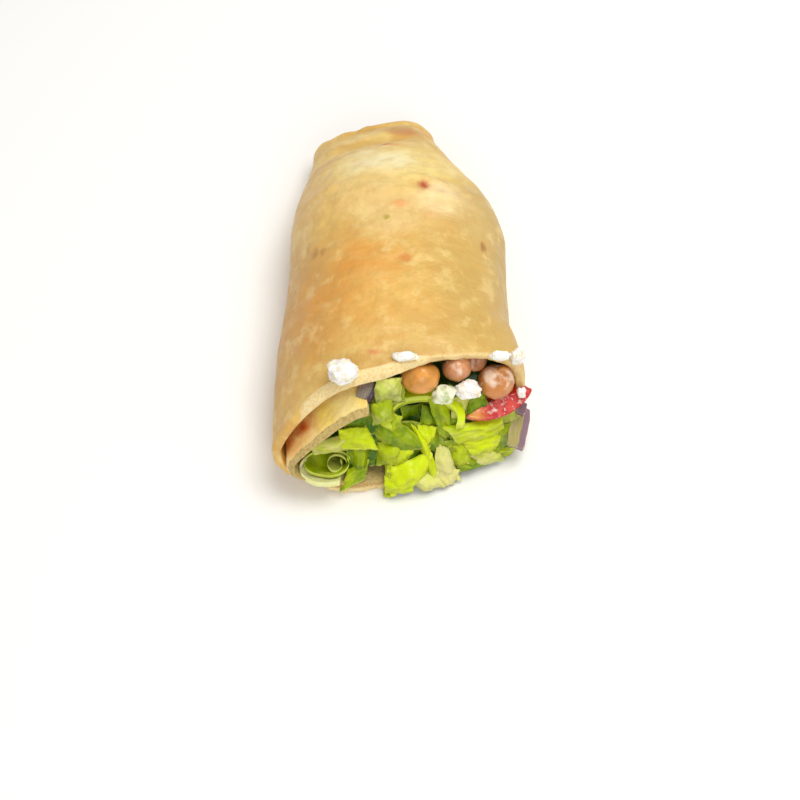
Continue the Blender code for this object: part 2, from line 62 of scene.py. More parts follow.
bpy.context.scene.view_settings.view_transform = "Standard"
sky = bpy.data.worlds.new("sky")
sky.use_nodes = True
sky.node_tree.nodes["Background"].inputs["Color"].default_value = SKY_COLOUR
sky.node_tree.nodes["Background"].inputs["Strength"].default_value = SKY_STRENGTH
bpy.context.scene.world = sky
# Each lamp's name, place, size, power and colour
LAMPS = (
    ("lamp_above", (0.16, 0.04, 0.72), (0.45, 0.45), 3.6, (1.0, 0.985, 0.955)),
    ("lamp_front", (0.10, -0.62, 0.46), (0.35, 0.35), 1.35, (1.0, 0.98, 0.95)),
)
for name, place, size, power, colour in LAMPS:
    lamp = bpy.data.lights.new(name, "AREA")
    lamp.shape = "RECTANGLE"
    lamp.size, lamp.size_y = size
    lamp.energy = power
    lamp.color = colour
    stand = bpy.data.objects.new(name, lamp)
    stand.location = place
    stand.rotation_euler = (Vector((0, 0, 0.02)) - Vector(place)).to_track_quat("-Z", "Y").to_euler()
    bpy.context.scene.collection.objects.link(stand)

# The table under the wrap is a plain pale sheet of card, large enough to fill the view. MIDDLE is the
# middle of the wrap's box, as its shapes are drawn, and every piece is moved back by it.
MIDDLE = Vector((0.0009, -0.0021, 0.0))
TABLE = 6.0


class Wire:
    """An output in a finish's node tree. Sums on it add Math nodes."""

    def __init__(self, finish, socket):
        self.finish = finish
        self.socket = socket

    def sum(self, operation, *values):
        return self.finish.node("ShaderNodeMath", {"operation": operation}, dict(enumerate(values)))

    def __add__(self, other):
        return self.sum("ADD", self, other)

    def __radd__(self, other):
        return self.sum("ADD", other, self)

    def __sub__(self, other):
        return self.sum("SUBTRACT", self, other)

    def __rsub__(self, other):
        return self.sum("SUBTRACT", other, self)

    def __mul__(self, other):
        return self.sum("MULTIPLY", self, other)

    def __rmul__(self, other):
        return self.sum("MULTIPLY", other, self)


class Finish:
    """A material, and the ways to add nodes to it."""

    def __init__(self, name):
        self.material = bpy.data.materials.new(name)
        self.material.use_nodes = True
        self.tree = self.material.node_tree
        self.shader = self.tree.nodes["Principled BSDF"]

    def node(self, kind, settings, inputs, output=0):
        """One node: its settings first, then its sockets' values or links. Returns one of its outputs."""
        made = self.tree.nodes.new(kind)
        for setting, value in settings.items():
            setattr(made, setting, value)
        for socket, value in inputs.items():
            self.feed(made.inputs[socket], value)
        return Wire(self, made.outputs[output])

    def feed(self, socket, value):
        if isinstance(value, Wire):
            self.tree.links.new(value.socket, socket)
        else:
            socket.default_value = value

    def place(self):
        """Where a point is, in metres, in the frame that the shapes are drawn in."""
        here = self.node("ShaderNodeTexCoord", {}, {}, "Object")
        return self.vector("ADD", here, tuple(MIDDLE))

    def vector(self, operation, first, second, output=0):
        return self.node("ShaderNodeVectorMath", {"operation": operation}, {0: first, 1: second}, output)

    def noise(self, at, scale, detail=3.0, roughness=0.55, output="Fac"):
        values = {"Vector": at, "Scale": scale, "Detail": detail, "Roughness": roughness}
        return self.node("ShaderNodeTexNoise", {}, values, output)

    def astray(self, at, drift, reach):
        """A place moved by a noise's colour, up to half of reach each way, which makes edges uneven."""
        centred = self.vector("SUBTRACT", drift, (0.5, 0.5, 0.5))
        return self.vector("ADD", at, self.vector("MULTIPLY", centred, reach))

    def between(self, value, low, high, start=0.0, end=1.0):
        """A smooth step of value from start at low to end at high."""
        values = {0: value, 1: low, 2: high, 3: start, 4: end}
        return self.node("ShaderNodeMapRange", {"interpolation_type": "SMOOTHSTEP"}, values)

    def stain(self, at, middle, sizes, soft=0.55):
        """1 in a round patch about middle, with half sizes across, along and up, and 0 outside it."""
        off = self.vector("SUBTRACT", at, middle)
        scaled = self.vector("DIVIDE", off, sizes)
        far = self.node("ShaderNodeVectorMath", {"operation": "LENGTH"}, {0: scaled}, "Value")
        return self.between(far, 1.0 - soft, 1.0 + soft, 1.0, 0.0)

    def split(self, vector, axis):
        """One of a vector's parts: X, Y or Z."""
        return self.node("ShaderNodeSeparateXYZ", {}, {0: vector}, axis)

    def noted(self, name):
        """A value noted on the points of the mesh."""
        return self.node("ShaderNodeAttribute", {"attribute_name": name}, {}, "Fac")

    def chart(self):
        """Where a point is on the sheet that its piece was made from, from 0 to 1 across and along."""
        return self.node("ShaderNodeTexCoord", {}, {}, "UV")

    def mix(self, share, first, second):
        """A colour between two."""
        made = self.tree.nodes.new("ShaderNodeMix")
        made.data_type = "RGBA"
        for socket, value in ((made.inputs[0], share), (made.inputs[6], first), (made.inputs[7], second)):
            self.feed(socket, value)
        return Wire(self, made.outputs[2])

    def bumped(self, *layers):
        """The normal under layers of relief, each a height in metres' worth of noise and its strength."""
        normal = None
        for height, strength, distance in layers:
            inputs = {"Height": height, "Strength": strength, "Distance": distance}
            if normal:
                inputs["Normal"] = normal
            normal = self.node("ShaderNodeBump", {}, inputs)
        return normal

    def end(self, colour, roughness, normal, **fixed):
        """Joins the finish up. fixed holds the shader's other sockets, the same all over."""
        self.feed(self.shader.inputs["Base Color"], colour)
        self.feed(self.shader.inputs["Roughness"], roughness)
        self.feed(self.shader.inputs["Normal"], normal)
        for socket, value in fixed.items():
            self.shader.inputs[socket.replace("_", " ")].default_value = value
        return self.material


def tint(red, green, blue):
    """A colour as it looks on a screen, its parts 0 to 255, for a shader."""
    parts = (red, green, blue)
    linear = [((part / 255 + 0.055) / 1.055) ** 2.4 if part > 10 else part / 3295 for part in parts]
    return (*linear, 1.0)


card = Finish("table_card")
at = card.place()
grain = card.noise(at, 900, 4.0)
card.end(card.mix(grain, tint(250, 250, 249), tint(253, 253, 252)), 0.9, card.bumped((grain, 0.05, 0.0002)))
bm = bmesh.new()
bmesh.ops.create_grid(bm, x_segments=2, y_segments=2, size=TABLE / 2)
mesh = bpy.data.meshes.new("table")
bm.to_mesh(mesh)
bm.free()
mesh.materials.append(card.material)
table = bpy.data.objects.new("table", mesh)
bpy.context.scene.collection.objects.link(table)

# The flatbread's outer turn is one soft sheet, rolled on its side, cut across at the mouth and tucked in at
# the far end. It is a tube whose wall runs from the tucked slit over the outside to the cut lip, and back
# inside.
BREAD = 0.0026
GAP = 0.0004
MOUTH_Y = -0.0620
TUCK_Y = 0.0560
POCKET_END_Y = 0.0490
MOUTH_HEIGHT = 0.0465
BODY_HEIGHT = 0.0440
TUCK_FOLD = 0.0035
SEAM = 315
SEAM_STEP = 0.0020
LIP_BACK = 0.0042
LIP_LEAN = 0.0012
LIP_SHORT = 0.0013
HOOD_REACH = 0.0020
CORNER_BACK = 0.0012
BELLY = 0.41
UNDER_POWER = 2.4
SLIT = 0.0006
ROUND = 250
FOLD_ROWS = 26
OUTSIDE_ROWS = 170
LIP_ROWS = 10
INSIDE_ROWS = 34


def ease(t):
    """A smooth step from 0 to 1."""
    t = min(max(t, 0.0), 1.0)
    return t * t * (3 - 2 * t)


def blend(a, b, t):
    return a + (b - a) * t


def sides(y):
    """The roll's left and right edge in plan: wide at the mouth, and tapered on the right to the tuck."""
    left = -0.0369 + 0.0034 * ease((y + 0.045) / 0.055) + 0.0056 * ease((y - 0.010) / 0.050)
    right = 0.0364 - 0.0039 * ease((y + 0.062) / 0.034) - 0.0240 * max(0.0, (y - 0.008) / 0.052) ** 1.4
    shoulder = 0.0013 * math.exp(-(((y - 0.035) / 0.010) ** 2))
    return left, right + shoulder


def levels(y):
    """The roll's underside and top at y."""
    lifted = 0.0030 * ease((y - 0.040) / 0.022)
    sunk = 0.030 * max(0.0, (y - 0.014) / 0.046) ** 1.5
    return lifted, blend(MOUTH_HEIGHT, BODY_HEIGHT, ease((y + 0.046) / 0.060)) - sunk


def squareness(y, turn):
    """The exponent of the section's outline: a slope at the mouth's left and a shoulder at its right."""
    return 2.1 + 0.55 * math.cos(turn) * (1 - 0.5 * ease((y + 0.040) / 0.060))


def section(y, turn, inset=0.0):
    """The point of the roll's section at y, a turn round from the right, moved in by inset."""
    left, right = sides(y)
    low, high = levels(y)
    middle = blend(low, high, BELLY)
    across, up = math.cos(turn), math.sin(turn)
    power = squareness(y, turn)
    x = (left + right) / 2 + ((right - left) / 2 - inset) * math.copysign(abs(across) ** (2 / power), across)
    if up >= 0:
        return x, middle + (high - middle - inset) * up ** (2 / power)
    round_under = middle - (middle - low + 0.002 - inset) * (-up) ** (2 / UNDER_POWER)
    return x, max(low + max(inset, 0.0), round_under)


def face_y(x, z):
    """The knife's path through the roll: it leans back as it rises, and curves away to the right."""
    return MOUTH_Y + 0.33 * z + 0.12 * x + 6.0 * max(x, 0.0) ** 2


def cut_y(x, z):
    """The bread's cut edge. On the knife's path, but short at the lower right and long at the hood."""
    short = LIP_BACK * ease((x + 0.006) / 0.014) * (1 - ease((z - 0.004) / 0.018))
    hood = ease((0.004 - x) / 0.010) * (1 - 0.6 * ease((-x - 0.006) / 0.016)) * ease((z - 0.016) / 0.010)
    corner = CORNER_BACK * ease((-x - 0.020) / 0.006) * (1 - ease((z - 0.002) / 0.014))
    return face_y(x, z) + short + corner - HOOD_REACH * hood


def slant(x):
    """How far the tucked end is drawn out at x: less to the left, and its right corner is rounded off."""
    return 0.28 * (x + 0.0107) + 0.0008 - 45.0 * max(0.0, x) ** 2


def rolled(turn, y, inset=0.0, ahead=0.0):
    """A point of the roll at nominal length y. It follows the cut at the mouth, and the slant at the tuck."""
    x, z = section(y, turn, inset)
    t = (y - MOUTH_Y) / (TUCK_Y - MOUTH_Y)
    to_cut = (cut_y(x, z) - MOUTH_Y) * (1 - ease(t / 0.5))
    to_tuck = slant(x) * ease((y - 0.020) / 0.040)
    return Vector((x, y + to_cut + to_tuck - ahead, z))


def tucked(turn, fold):
    """The end of the roll, where the bread folds in: fold 0 is the outer edge and 1 is inside the slit."""
    low, high = levels(TUCK_Y)
    swing = math.pi * min(fold / 0.75, 1.0)
    inward = max(0.0, (fold - 0.75) / 0.25)
    closed = (1 - math.cos(swing)) / 2
    left, right = sides(TUCK_Y)
    x, z = section(TUCK_Y, turn)
    x = blend(x, (left + right) / 2, 0.28 * closed)
    half_way = blend(low, high, 0.5)
    z = half_way + (z - half_way) * blend(1.0, SLIT / (high - low), closed)
    y = TUCK_Y + TUCK_FOLD * math.sin(swing) - 0.004 * inward + slant(x) * ease((TUCK_Y - 0.020) / 0.040)
    return Vector((x, y, z))


def crease(point):
    """How far the valley in front of the tucked end pulls a point of the top down."""
    across = ease((point.x + 0.030) / 0.006) * (1 - ease(point.x / 0.012))
    valley_y = 0.0425 + 0.22 * (point.x + 0.020)
    return 0.0020 * across * math.exp(-(((point.y - valley_y) / 0.0034) ** 2))


def seam_step(turn, y):
    """How far the outer end of the flatbread stands proud of the turn that it lies on."""
    degrees = math.degrees(turn)
    if not SEAM - 30 < degrees <= SEAM + 0.1:
        return 0.0
    return SEAM_STEP * ease((degrees - SEAM + 30) / 24) * (1 - ease((y - 0.030) / 0.015))


def hump(point, x, y, wide, long):
    """A round bump of height 1 about x, y on the top of the roll."""
    return math.exp(-(((point.x - x) / wide) ** 2) - ((point.y - y) / long) ** 2)


def wave(point, across, along, shift=0.0):
    """Smooth noise whose grain is so many metres across and along the roll."""
    return noise.noise(Vector((point.x / across, point.y / along, point.z / across + shift)))


def relief(point):
    """How far the soft sheet stands out or in at a point of its outside."""
    top = ease((point.z - 0.020) / 0.012)
    broad = 0.00045 * wave(point, 0.016, 0.022) + 0.00022 * wave(point, 0.006, 0.008, 3.0)
    ruck = ease((point.y + 0.012) / 0.012) * (1 - ease((point.y - 0.030) / 0.010)) * top
    rucks = 0.00032 * wave(point, 0.013, 0.0024, 7.0) * ruck
    puckers = 0.0005 * wave(point, 0.004, 0.012, 9.0) * ease((point.y - 0.040) / 0.012)
    blister = 0.00075 * hump(point, 0.0108, 0.0125, 0.0060, 0.0050)
    blister += 0.0004 * hump(point, -0.0040, 0.0125, 0.0080, 0.0030)
    ridge_y = 0.0204 - 40.0 * (point.x - 0.0062) ** 2
    ridge = 0.0008 * math.exp(-(((point.y - ridge_y) / 0.0011) ** 2) - ((point.x - 0.0062) / 0.0062) ** 2)
    dimple = 0.0008 * hump(point, 0.0072, 0.0170, 0.0020, 0.0018)
    dimple += 0.0004 * hump(point, 0.0014, -0.0109, 0.0022, 0.0018)
    folds = 0.00028 * wave(point, 0.030, 0.006, 12.0) * top
    return broad + rucks + puckers + folds + (blister + ridge - dimple) * top


def sheet(columns, rows, put):
    """A sheet of squares, with a map of itself, whose points put(across, along) sets in place."""
    bm = bmesh.new()
    bmesh.ops.create_grid(bm, x_segments=columns, y_segments=rows, size=0.5)
    shares = {vert: (vert.co.x + 0.5, vert.co.y + 0.5) for vert in bm.verts}
    chart = bm.loops.layers.uv.new("chart")
    for face in bm.faces:
        for loop in face.loops:
            loop[chart].uv = shares[loop.vert]
    for vert, (across, along) in shares.items():
        vert.co = put(across, along)
    return bm


def tube(columns, rows, put):
    """A sheet wrapped into a tube whose ends are shut."""
    bm = sheet(columns, rows, lambda across, along: put(2 * math.pi * across, along))
    bmesh.ops.remove_doubles(bm, verts=bm.verts, dist=1e-7)
    bmesh.ops.holes_fill(bm, edges=[edge for edge in bm.edges if edge.is_boundary], sides=0)
    return bm


def finished(bm, name, material, node):
    """An object of the wrap from bm: faces turned out, moved to the frame, and riding on the one body."""
    bmesh.ops.recalc_face_normals(bm, faces=bm.faces)
    if all(edge.is_manifold for edge in bm.edges) and bm.calc_volume(signed=True) < 0:
        bmesh.ops.reverse_faces(bm, faces=bm.faces)
    bmesh.ops.translate(bm, verts=bm.verts, vec=-MIDDLE)
    mesh = bpy.data.meshes.new(name)
    bm.to_mesh(mesh)
    bm.free()
    mesh.shade_smooth()
    mesh.materials.append(material)
    piece = bpy.data.objects.new(name, mesh)
    bpy.context.scene.collection.objects.link(piece)
    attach(piece, "root")
    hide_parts(node)


# Toasted and pale patches of the flatbread, some of them painted shade and painted highlights: middle and
# half sizes on the roll, strength, and colour
TOAST_AND_PAINTED_LIGHT = (
    ((-0.016, -0.013, 0.034), (0.016, 0.012, 0.020), 0.80, (226, 154, 60)),
    ((-0.026, -0.022, 0.030), (0.010, 0.014, 0.018), 0.75, (226, 156, 62)),
    ((-0.020, -0.033, 0.036), (0.010, 0.008, 0.014), 0.55, (216, 146, 62)),
    ((0.002, -0.028, 0.044), (0.015, 0.010, 0.014), 0.35, (236, 182, 84)),
    ((0.020, -0.024, 0.038), (0.014, 0.015, 0.018), 0.55, (204, 164, 80)),
    ((0.014, -0.006, 0.042), (0.012, 0.006, 0.014), 0.45, (212, 172, 88)),
    ((0.000, 0.003, 0.044), (0.020, 0.006, 0.012), 0.40, (212, 172, 94)),
    ((-0.008, 0.030, 0.040), (0.018, 0.012, 0.020), 0.80, (252, 228, 150)),
    ((0.010, 0.028, 0.040), (0.012, 0.010, 0.020), 0.75, (250, 226, 140)),
    ((0.012, 0.012, 0.042), (0.008, 0.006, 0.012), 0.90, (252, 224, 172)),
    ((-0.014, 0.016, 0.042), (0.016, 0.008, 0.012), 0.60, (246, 216, 142)),
    ((-0.026, 0.006, 0.036), (0.008, 0.020, 0.016), 0.45, (226, 182, 98)),
    ((-0.031, 0.018, 0.026), (0.007, 0.026, 0.016), 0.60, (232, 196, 134)),
    # Painted shade down the left flank of the roll
    ((-0.034, -0.022, 0.022), (0.008, 0.030, 0.016), 0.60, (206, 154, 88)),
    ((-0.025, -0.006, 0.036), (0.006, 0.007, 0.014), 0.50, (206, 152, 76)),
    ((0.030, 0.000, 0.026), (0.007, 0.036, 0.020), 0.60, (224, 196, 136)),
    # This row is a painted highlight on the raised band of the tucked end, and the next two are painted shade
    # in the valley in front of it
    ((-0.016, 0.044, 0.034), (0.014, 0.003, 0.014), 0.75, (250, 214, 110)),
    ((-0.022, 0.037, 0.036), (0.013, 0.0024, 0.014), 0.60, (206, 158, 92)),
    ((-0.009, 0.044, 0.033), (0.007, 0.0024, 0.012), 0.60, (214, 160, 92)),
    ((0.004, -0.047, 0.046), (0.030, 0.006, 0.012), 0.80, (206, 162, 84)),
    ((0.024, 0.012, 0.036), (0.007, 0.012, 0.016), 0.65, (214, 188, 128)),
    # Painted shade along the right edge, where the top turns down
    ((0.031, -0.006, 0.030), (0.005, 0.026, 0.016), 0.60, (190, 160, 104)),
    # Painted highlight along the raised band of the tucked end
    ((-0.013, 0.0500, 0.031), (0.012, 0.0024, 0.012), 0.85, (255, 226, 140)),
    ((0.001, 0.0540, 0.028), (0.006, 0.0026, 0.012), 0.80, (196, 140, 62)),
    ((-0.003, 0.006, 0.044), (0.012, 0.007, 0.012), 0.60, (238, 208, 142)),
    ((-0.020, -0.004, 0.040), (0.006, 0.005, 0.012), 0.50, (226, 182, 100)),
    ((0.024, -0.012, 0.036), (0.014, 0.028, 0.022), 0.42, (196, 164, 92)),
    ((0.026, 0.018, 0.030), (0.008, 0.012, 0.020), 0.70, (206, 176, 106)),
    ((0.016, -0.036, 0.042), (0.020, 0.008, 0.014), 0.40, (204, 166, 82)),
    ((0.010, 0.046, 0.028), (0.006, 0.006, 0.014), 0.60, (224, 192, 96)),
    ((-0.006, 0.0300, 0.038), (0.010, 0.006, 0.016), 0.60, (255, 246, 204)),
)
SCORCHED = (
    ((-0.0047, 0.0413, 0.031), (0.0019, 0.0011, 0.006), 0.95, (198, 92, 30)),
    ((-0.0022, 0.0400, 0.032), (0.0018, 0.0010, 0.006), 0.80, (222, 164, 70)),
    ((0.0070, 0.0166, 0.043), (0.0015, 0.0020, 0.006), 0.95, (186, 78, 34)),
    ((0.0000, 0.0086, 0.044), (0.0024, 0.0013, 0.006), 0.85, (226, 158, 82)),
    ((0.0094, 0.0050, 0.044), (0.0013, 0.0010, 0.006), 0.50, (232, 172, 106)),
    ((-0.0041, 0.0039, 0.044), (0.0009, 0.0008, 0.006), 0.80, (176, 154, 50)),
    ((0.0014, -0.0109, 0.044), (0.0020, 0.0014, 0.006), 0.85, (214, 138, 62)),
    ((0.0245, -0.0022, 0.037), (0.0008, 0.0017, 0.006), 0.80, (164, 108, 50)),
    ((-0.0252, -0.0030, 0.035), (0.0010, 0.0018, 0.008), 0.65, (182, 124, 62)),
    ((-0.0227, -0.0040, 0.036), (0.0008, 0.0013, 0.008), 0.65, (182, 124, 62)),
    ((-0.0075, -0.0437, 0.046), (0.0018, 0.0007, 0.006), 0.75, (216, 128, 70)),
    ((0.0020, 0.0520, 0.028), (0.0050, 0.0020, 0.012), 0.75, (204, 128, 72)),
)
BREAD_BASE = (232, 194, 108)
BREAD_WARM = (224, 172, 84)
BREAD_PALE = (244, 216, 140)
BREAD_CRUMB = ((244, 222, 164), (230, 192, 118))


def bread_finish(name, patches, spots, base, warm, crumb_pale, crumb_dark):
    """Soft toasted flatbread: mottled, with browned patches and the painted shade and highlights among them,
    small scorched spots, and a cut edge in the crumb colours given, pale on the outer turn and darkened by
    painted shade on the inner.
    """
    made = Finish(name)
    at = made.place()
    near = made.astray(at, made.noise(at, 60, 3.0, 0.55, "Color"), (0.012, 0.012, 0.006))
    close = made.astray(at, made.noise(at, 420, 3.0, 0.6, "Color"), (0.0022, 0.0022, 0.0022))
    clouds = made.between(made.noise(at, 85, 4.0), 0.35, 0.66)
    colour = made.mix(clouds, tint(*base), tint(*warm))
    for middle, sizes, strength, shade in patches:
        colour = made.mix(made.stain(near, middle, sizes, 0.6) * strength, colour, tint(*shade))
    streaked = made.vector("MULTIPLY", at, (0.35, 1.0, 0.35))
    streaks = made.between(made.noise(streaked, 240, 4.0, 0.55), 0.50, 0.80)
    colour = made.mix(streaks * 0.28, colour, tint(*BREAD_PALE))
    mottle = made.between(made.noise(at, 230, 4.0, 0.55), 0.35, 0.68)
    colour = made.mix(mottle * 0.34, colour, tint(200, 158, 82))
    lighter = made.between(made.noise(at, 150, 5.0, 0.6), 0.52, 0.66)
    colour = made.mix(lighter * 0.36, colour, tint(248, 222, 150))
    for middle, sizes, strength, shade in spots:
        colour = made.mix(made.stain(close, middle, sizes, 0.75) * strength, colour, tint(*shade))
    flecks = made.between(made.noise(at, 1500, 2.0, 0.5), 0.70, 0.78)
    colour = made.mix(flecks * 0.35, colour, tint(196, 136, 62))
    crumb = made.noise(at, 1300, 3.0, 0.6)
    frayed = made.between(made.noted("bare") + (crumb - 0.5) * 0.5, 0.35, 0.65)
    inner = made.mix(made.between(crumb, 0.40, 0.75), tint(*crumb_pale), tint(*crumb_dark))
    colour = made.mix(frayed, colour, inner)
    roughness = made.between(made.noise(at, 240, 3.0), 0.3, 0.7, 0.42, 0.60) + frayed * 0.15
    blisters = made.noise(at, 260, 3.0, 0.5)
    pores = made.noise(at, 2400, 3.0, 0.6)
    normal = made.bumped((blisters, 0.60, 0.0010), (mottle, 0.30, 0.0005), (pores, 0.18, 0.00012))
    glow = {"Subsurface_Weight": 0.12, "Subsurface_Scale": 0.002}
    return made.end(colour, roughness, normal, **glow, Coat_Weight=0.04, Coat_Roughness=0.35)


def lip_lean(x):
    """How far the lip's inner edge is in front of its outer edge, at the left, or behind, at the right."""
    return LIP_LEAN * ease((0.010 - x) / 0.010) - LIP_SHORT * ease((x - 0.002) / 0.012)


def sleeve(turn, along):
    """The wall of the roll, from the slit of the tuck over its outside and lip to the end of the pocket."""
    row = along * (FOLD_ROWS + OUTSIDE_ROWS + LIP_ROWS + INSIDE_ROWS)
    degrees = math.degrees(turn)
    if SEAM + 0.1 < degrees < SEAM + 3:
        turn = math.radians(SEAM + 1.5)
    if row <= FOLD_ROWS:
        point = tucked(turn, 1 - row / FOLD_ROWS)
    elif row <= FOLD_ROWS + OUTSIDE_ROWS:
        y = blend(TUCK_Y, MOUTH_Y, (row - FOLD_ROWS) / OUTSIDE_ROWS)
        point = rolled(turn, y, -seam_step(turn, y))
    elif row <= FOLD_ROWS + OUTSIDE_ROWS + LIP_ROWS:
        swing = math.pi * (row - FOLD_ROWS - OUTSIDE_ROWS) / LIP_ROWS
        depth = BREAD * (1 - math.cos(swing)) / 2
        proud = seam_step(turn, MOUTH_Y) * (1 + math.cos(swing)) / 2
        lean = lip_lean(section(MOUTH_Y, turn)[0]) * (1 - math.cos(swing)) / 2
        point = rolled(turn, MOUTH_Y, depth - proud, 0.0006 * math.sin(swing) + lean)
        ragged = 0.0005 * noise.noise(point * 420) + 0.0004 * noise.noise(point * 1400)
        point.y += ragged * math.sin(swing)
    else:
        share = (row - FOLD_ROWS - OUTSIDE_ROWS - LIP_ROWS) / INSIDE_ROWS
        y = blend(MOUTH_Y, POCKET_END_Y, share)
        lean = lip_lean(section(MOUTH_Y, turn)[0]) * (1 - ease(share / 0.1))
        point = rolled(turn, y, BREAD + 0.0015 * ease((share - 0.8) / 0.2), lean)
    point.z -= crease(point) * max(0.0, math.sin(turn))
    return point


bm = tube(ROUND, FOLD_ROWS + OUTSIDE_ROWS + LIP_ROWS + INSIDE_ROWS, sleeve)
bm.normal_update()
if bm.calc_volume(signed=True) < 0:
    bmesh.ops.reverse_faces(bm, faces=bm.faces)
    bm.normal_update()
moves = {}
for vert in bm.verts:
    lip = ease((vert.co.y - cut_y(vert.co.x, vert.co.z)) / 0.003)
    middle = Vector((0, vert.co.y, 0.020))
    outward = vert.normal.dot(vert.co - middle) > 0
    if outward and vert.co.z > 0.002:
        moves[vert] = vert.normal * relief(vert.co) * lip
for vert, move in moves.items():
    vert.co += move


def lip_bare(point):
    """The pale inside of the bread shows at the cut, most of all along the hood."""
    near = 1 - ease((point.y - cut_y(point.x, point.z) - 0.0002) / 0.0016)
    return near * ease((point.x + 0.031) / 0.006) * (1 - 0.45 * ease((point.x - 0.001) / 0.008))


bare = bm.verts.layers.float.new("bare")
for vert in bm.verts:
    vert[bare] = lip_bare(vert.co)
toasted = bread_finish("toasted_flatbread", TOAST_AND_PAINTED_LIGHT, SCORCHED, BREAD_BASE, BREAD_WARM, *BREAD_CRUMB)
finished(bm, "flatbread_outer_turn", toasted, "flatbread")

# The flatbread's inner turn is the other end of the same sheet. It lies inside the outer turn round the
# left of the mouth, and its front edge stands out from it, toasted at the left and yellow towards the top.
TURN_START = 310
TURN_END = 109
TURN_BACK_Y = 0.026
TURN_REACH = 0.0036
TURN_DROOP = 0.0044
TURN_LEAN = 0.0023
TURN_BASE = (246, 214, 142)
TURN_WARM = (240, 196, 116)
# The inner turn's cut face is darker than the outer lip's crumb: painted shade, as it faces down and forwards
# under the hood
TURN_CRUMB_IN_PAINTED_SHADE = ((202, 178, 112), (168, 138, 66))
TURN_TOAST = (
    ((-0.033, -0.056, 0.022), (0.0045, 0.006, 0.010), 0.85, (222, 138, 60)),
    ((-0.027, -0.055, 0.028), (0.004, 0.004, 0.006), 0.55, (240, 186, 110)),
    ((-0.017, -0.053, 0.034), (0.008, 0.006, 0.008), 0.85, (250, 232, 152)),
    ((-0.021, -0.056, 0.031), (0.003, 0.006, 0.004), 0.60, (250, 222, 84)),
    ((-0.010, -0.052, 0.036), (0.004, 0.005, 0.006), 0.60, (248, 214, 92)),
)
TURN_SPOTS = (
    ((-0.0280, -0.0570, 0.0262), (0.0030, 0.0016, 0.0022), 0.95, (192, 82, 10)),
    ((-0.0325, -0.0590, 0.0205), (0.0008, 0.0020, 0.0030), 0.85, (212, 116, 44)),
    ((-0.0345, -0.0580, 0.0190), (0.0008, 0.0020, 0.0030), 0.85, (226, 138, 60)),
    ((-0.0270, -0.0580, 0.0240), (0.0030, 0.0010, 0.0012), 0.60, (176, 96, 50)),
)


def turn_share(turn):
    """How far round the inner turn of the flatbread a direction is, from 0 at its root to 1 at its end."""
    return (TURN_START - math.degrees(turn) % 360) / (TURN_START - TURN_END)


def turn_inset(share, y):
    """How deep the middle of the inner turn lies under the outside. At the mouth it droops from the hood."""
    droop = TURN_DROOP * ease((share - 0.52) / 0.35) * (1 - ease((y - MOUTH_Y) / 0.016))
    return blend(BREAD / 2, BREAD + GAP + BREAD / 2, ease(share / 0.22)) + droop


def turn_reach(share):
    """How far the inner turn shows in front of the hood."""
    return TURN_REACH * ease((share - 0.35) / 0.3) * (1 - 0.25 * ease((share - 0.8) / 0.2))


def inner_turn(across, along):
    """The wall of the inner turn: its outer side, front edge and inner side, as one sheet folded in two."""
    turn = math.radians(blend(TURN_START, TURN_END, across))
    swing = math.pi * min(max((along - 0.42) / 0.16, 0.0), 1.0)
    depth = (1 - math.cos(swing)) / 2
    back = 1 - along / 0.42 if along < 0.42 else max(0.0, (along - 0.58) / 0.42)
    y = blend(MOUTH_Y, TURN_BACK_Y, back)
    half = BREAD / 2 - 0.0001
    inset = turn_inset(across, y) - half + 2 * half * depth
    lean = TURN_LEAN * depth * (1 - ease(back / 0.2))
    ahead = turn_reach(across) * (1 - back) ** 4 + lean + 0.0006 * math.sin(swing)
    point = rolled(turn, y, inset, ahead)
    point.y += 0.0005 * noise.noise(point * 500) * math.sin(swing)
    point.z += 0.0003 * noise.noise(point * 300)
    return point


bm = sheet(150, 90, inner_turn)
bare = bm.verts.layers.float.new("bare")
chart = bm.loops.layers.uv["chart"]
for face in bm.faces:
    for loop in face.loops:
        along = loop[chart].uv.y
        loop.vert[bare] = ease((along - 0.465) / 0.02) * (1 - ease((along - 0.62) / 0.05))
bmesh.ops.holes_fill(bm, edges=[edge for edge in bm.edges if edge.is_boundary], sides=0)
inside_bread = bread_finish("inner_flatbread", TURN_TOAST, TURN_SPOTS, TURN_BASE, TURN_WARM, *TURN_CRUMB_IN_PAINTED_SHADE)
finished(bm, "flatbread_inner_turn", inside_bread, "flatbread")

# The lettuce is chopped romaine: thin crisp leaves with cut edges and pale ribs, packed over a core of
# darker leaf that fills the roll. Each leaf is a curved sheet with a little thickness, and the core shows
# only between them, its dark green partly painted shade in the gaps, and darkest towards its top as
# painted shade under the chickpeas.
CORE_BACK_Y = 0.033
CORE_NOSE = (0.45, 0.019)
CHICKPEA_RECESS = 0.0105
CLEAR = 0.0006
FLOOR = 0.0014
FACING_UP = 60
FACE_LEAN = -35
# Hollows in the heap's front: place across, height, radius and depth
HOLLOWS = (
    (0.0050, 0.0265, 0.0070, 0.0080),
    (-0.0205, 0.0120, 0.0070, 0.0090),
    (-0.0080, 0.0040, 0.0050, 0.0060),
)
LEAF = 0.0007
LEAF_SPREAD = 1.14
LEAF_DOME = 0.0017
LEAF_MARGIN = 0.0002
LEAF_COLUMNS = 22
LEAF_ROWS = 18
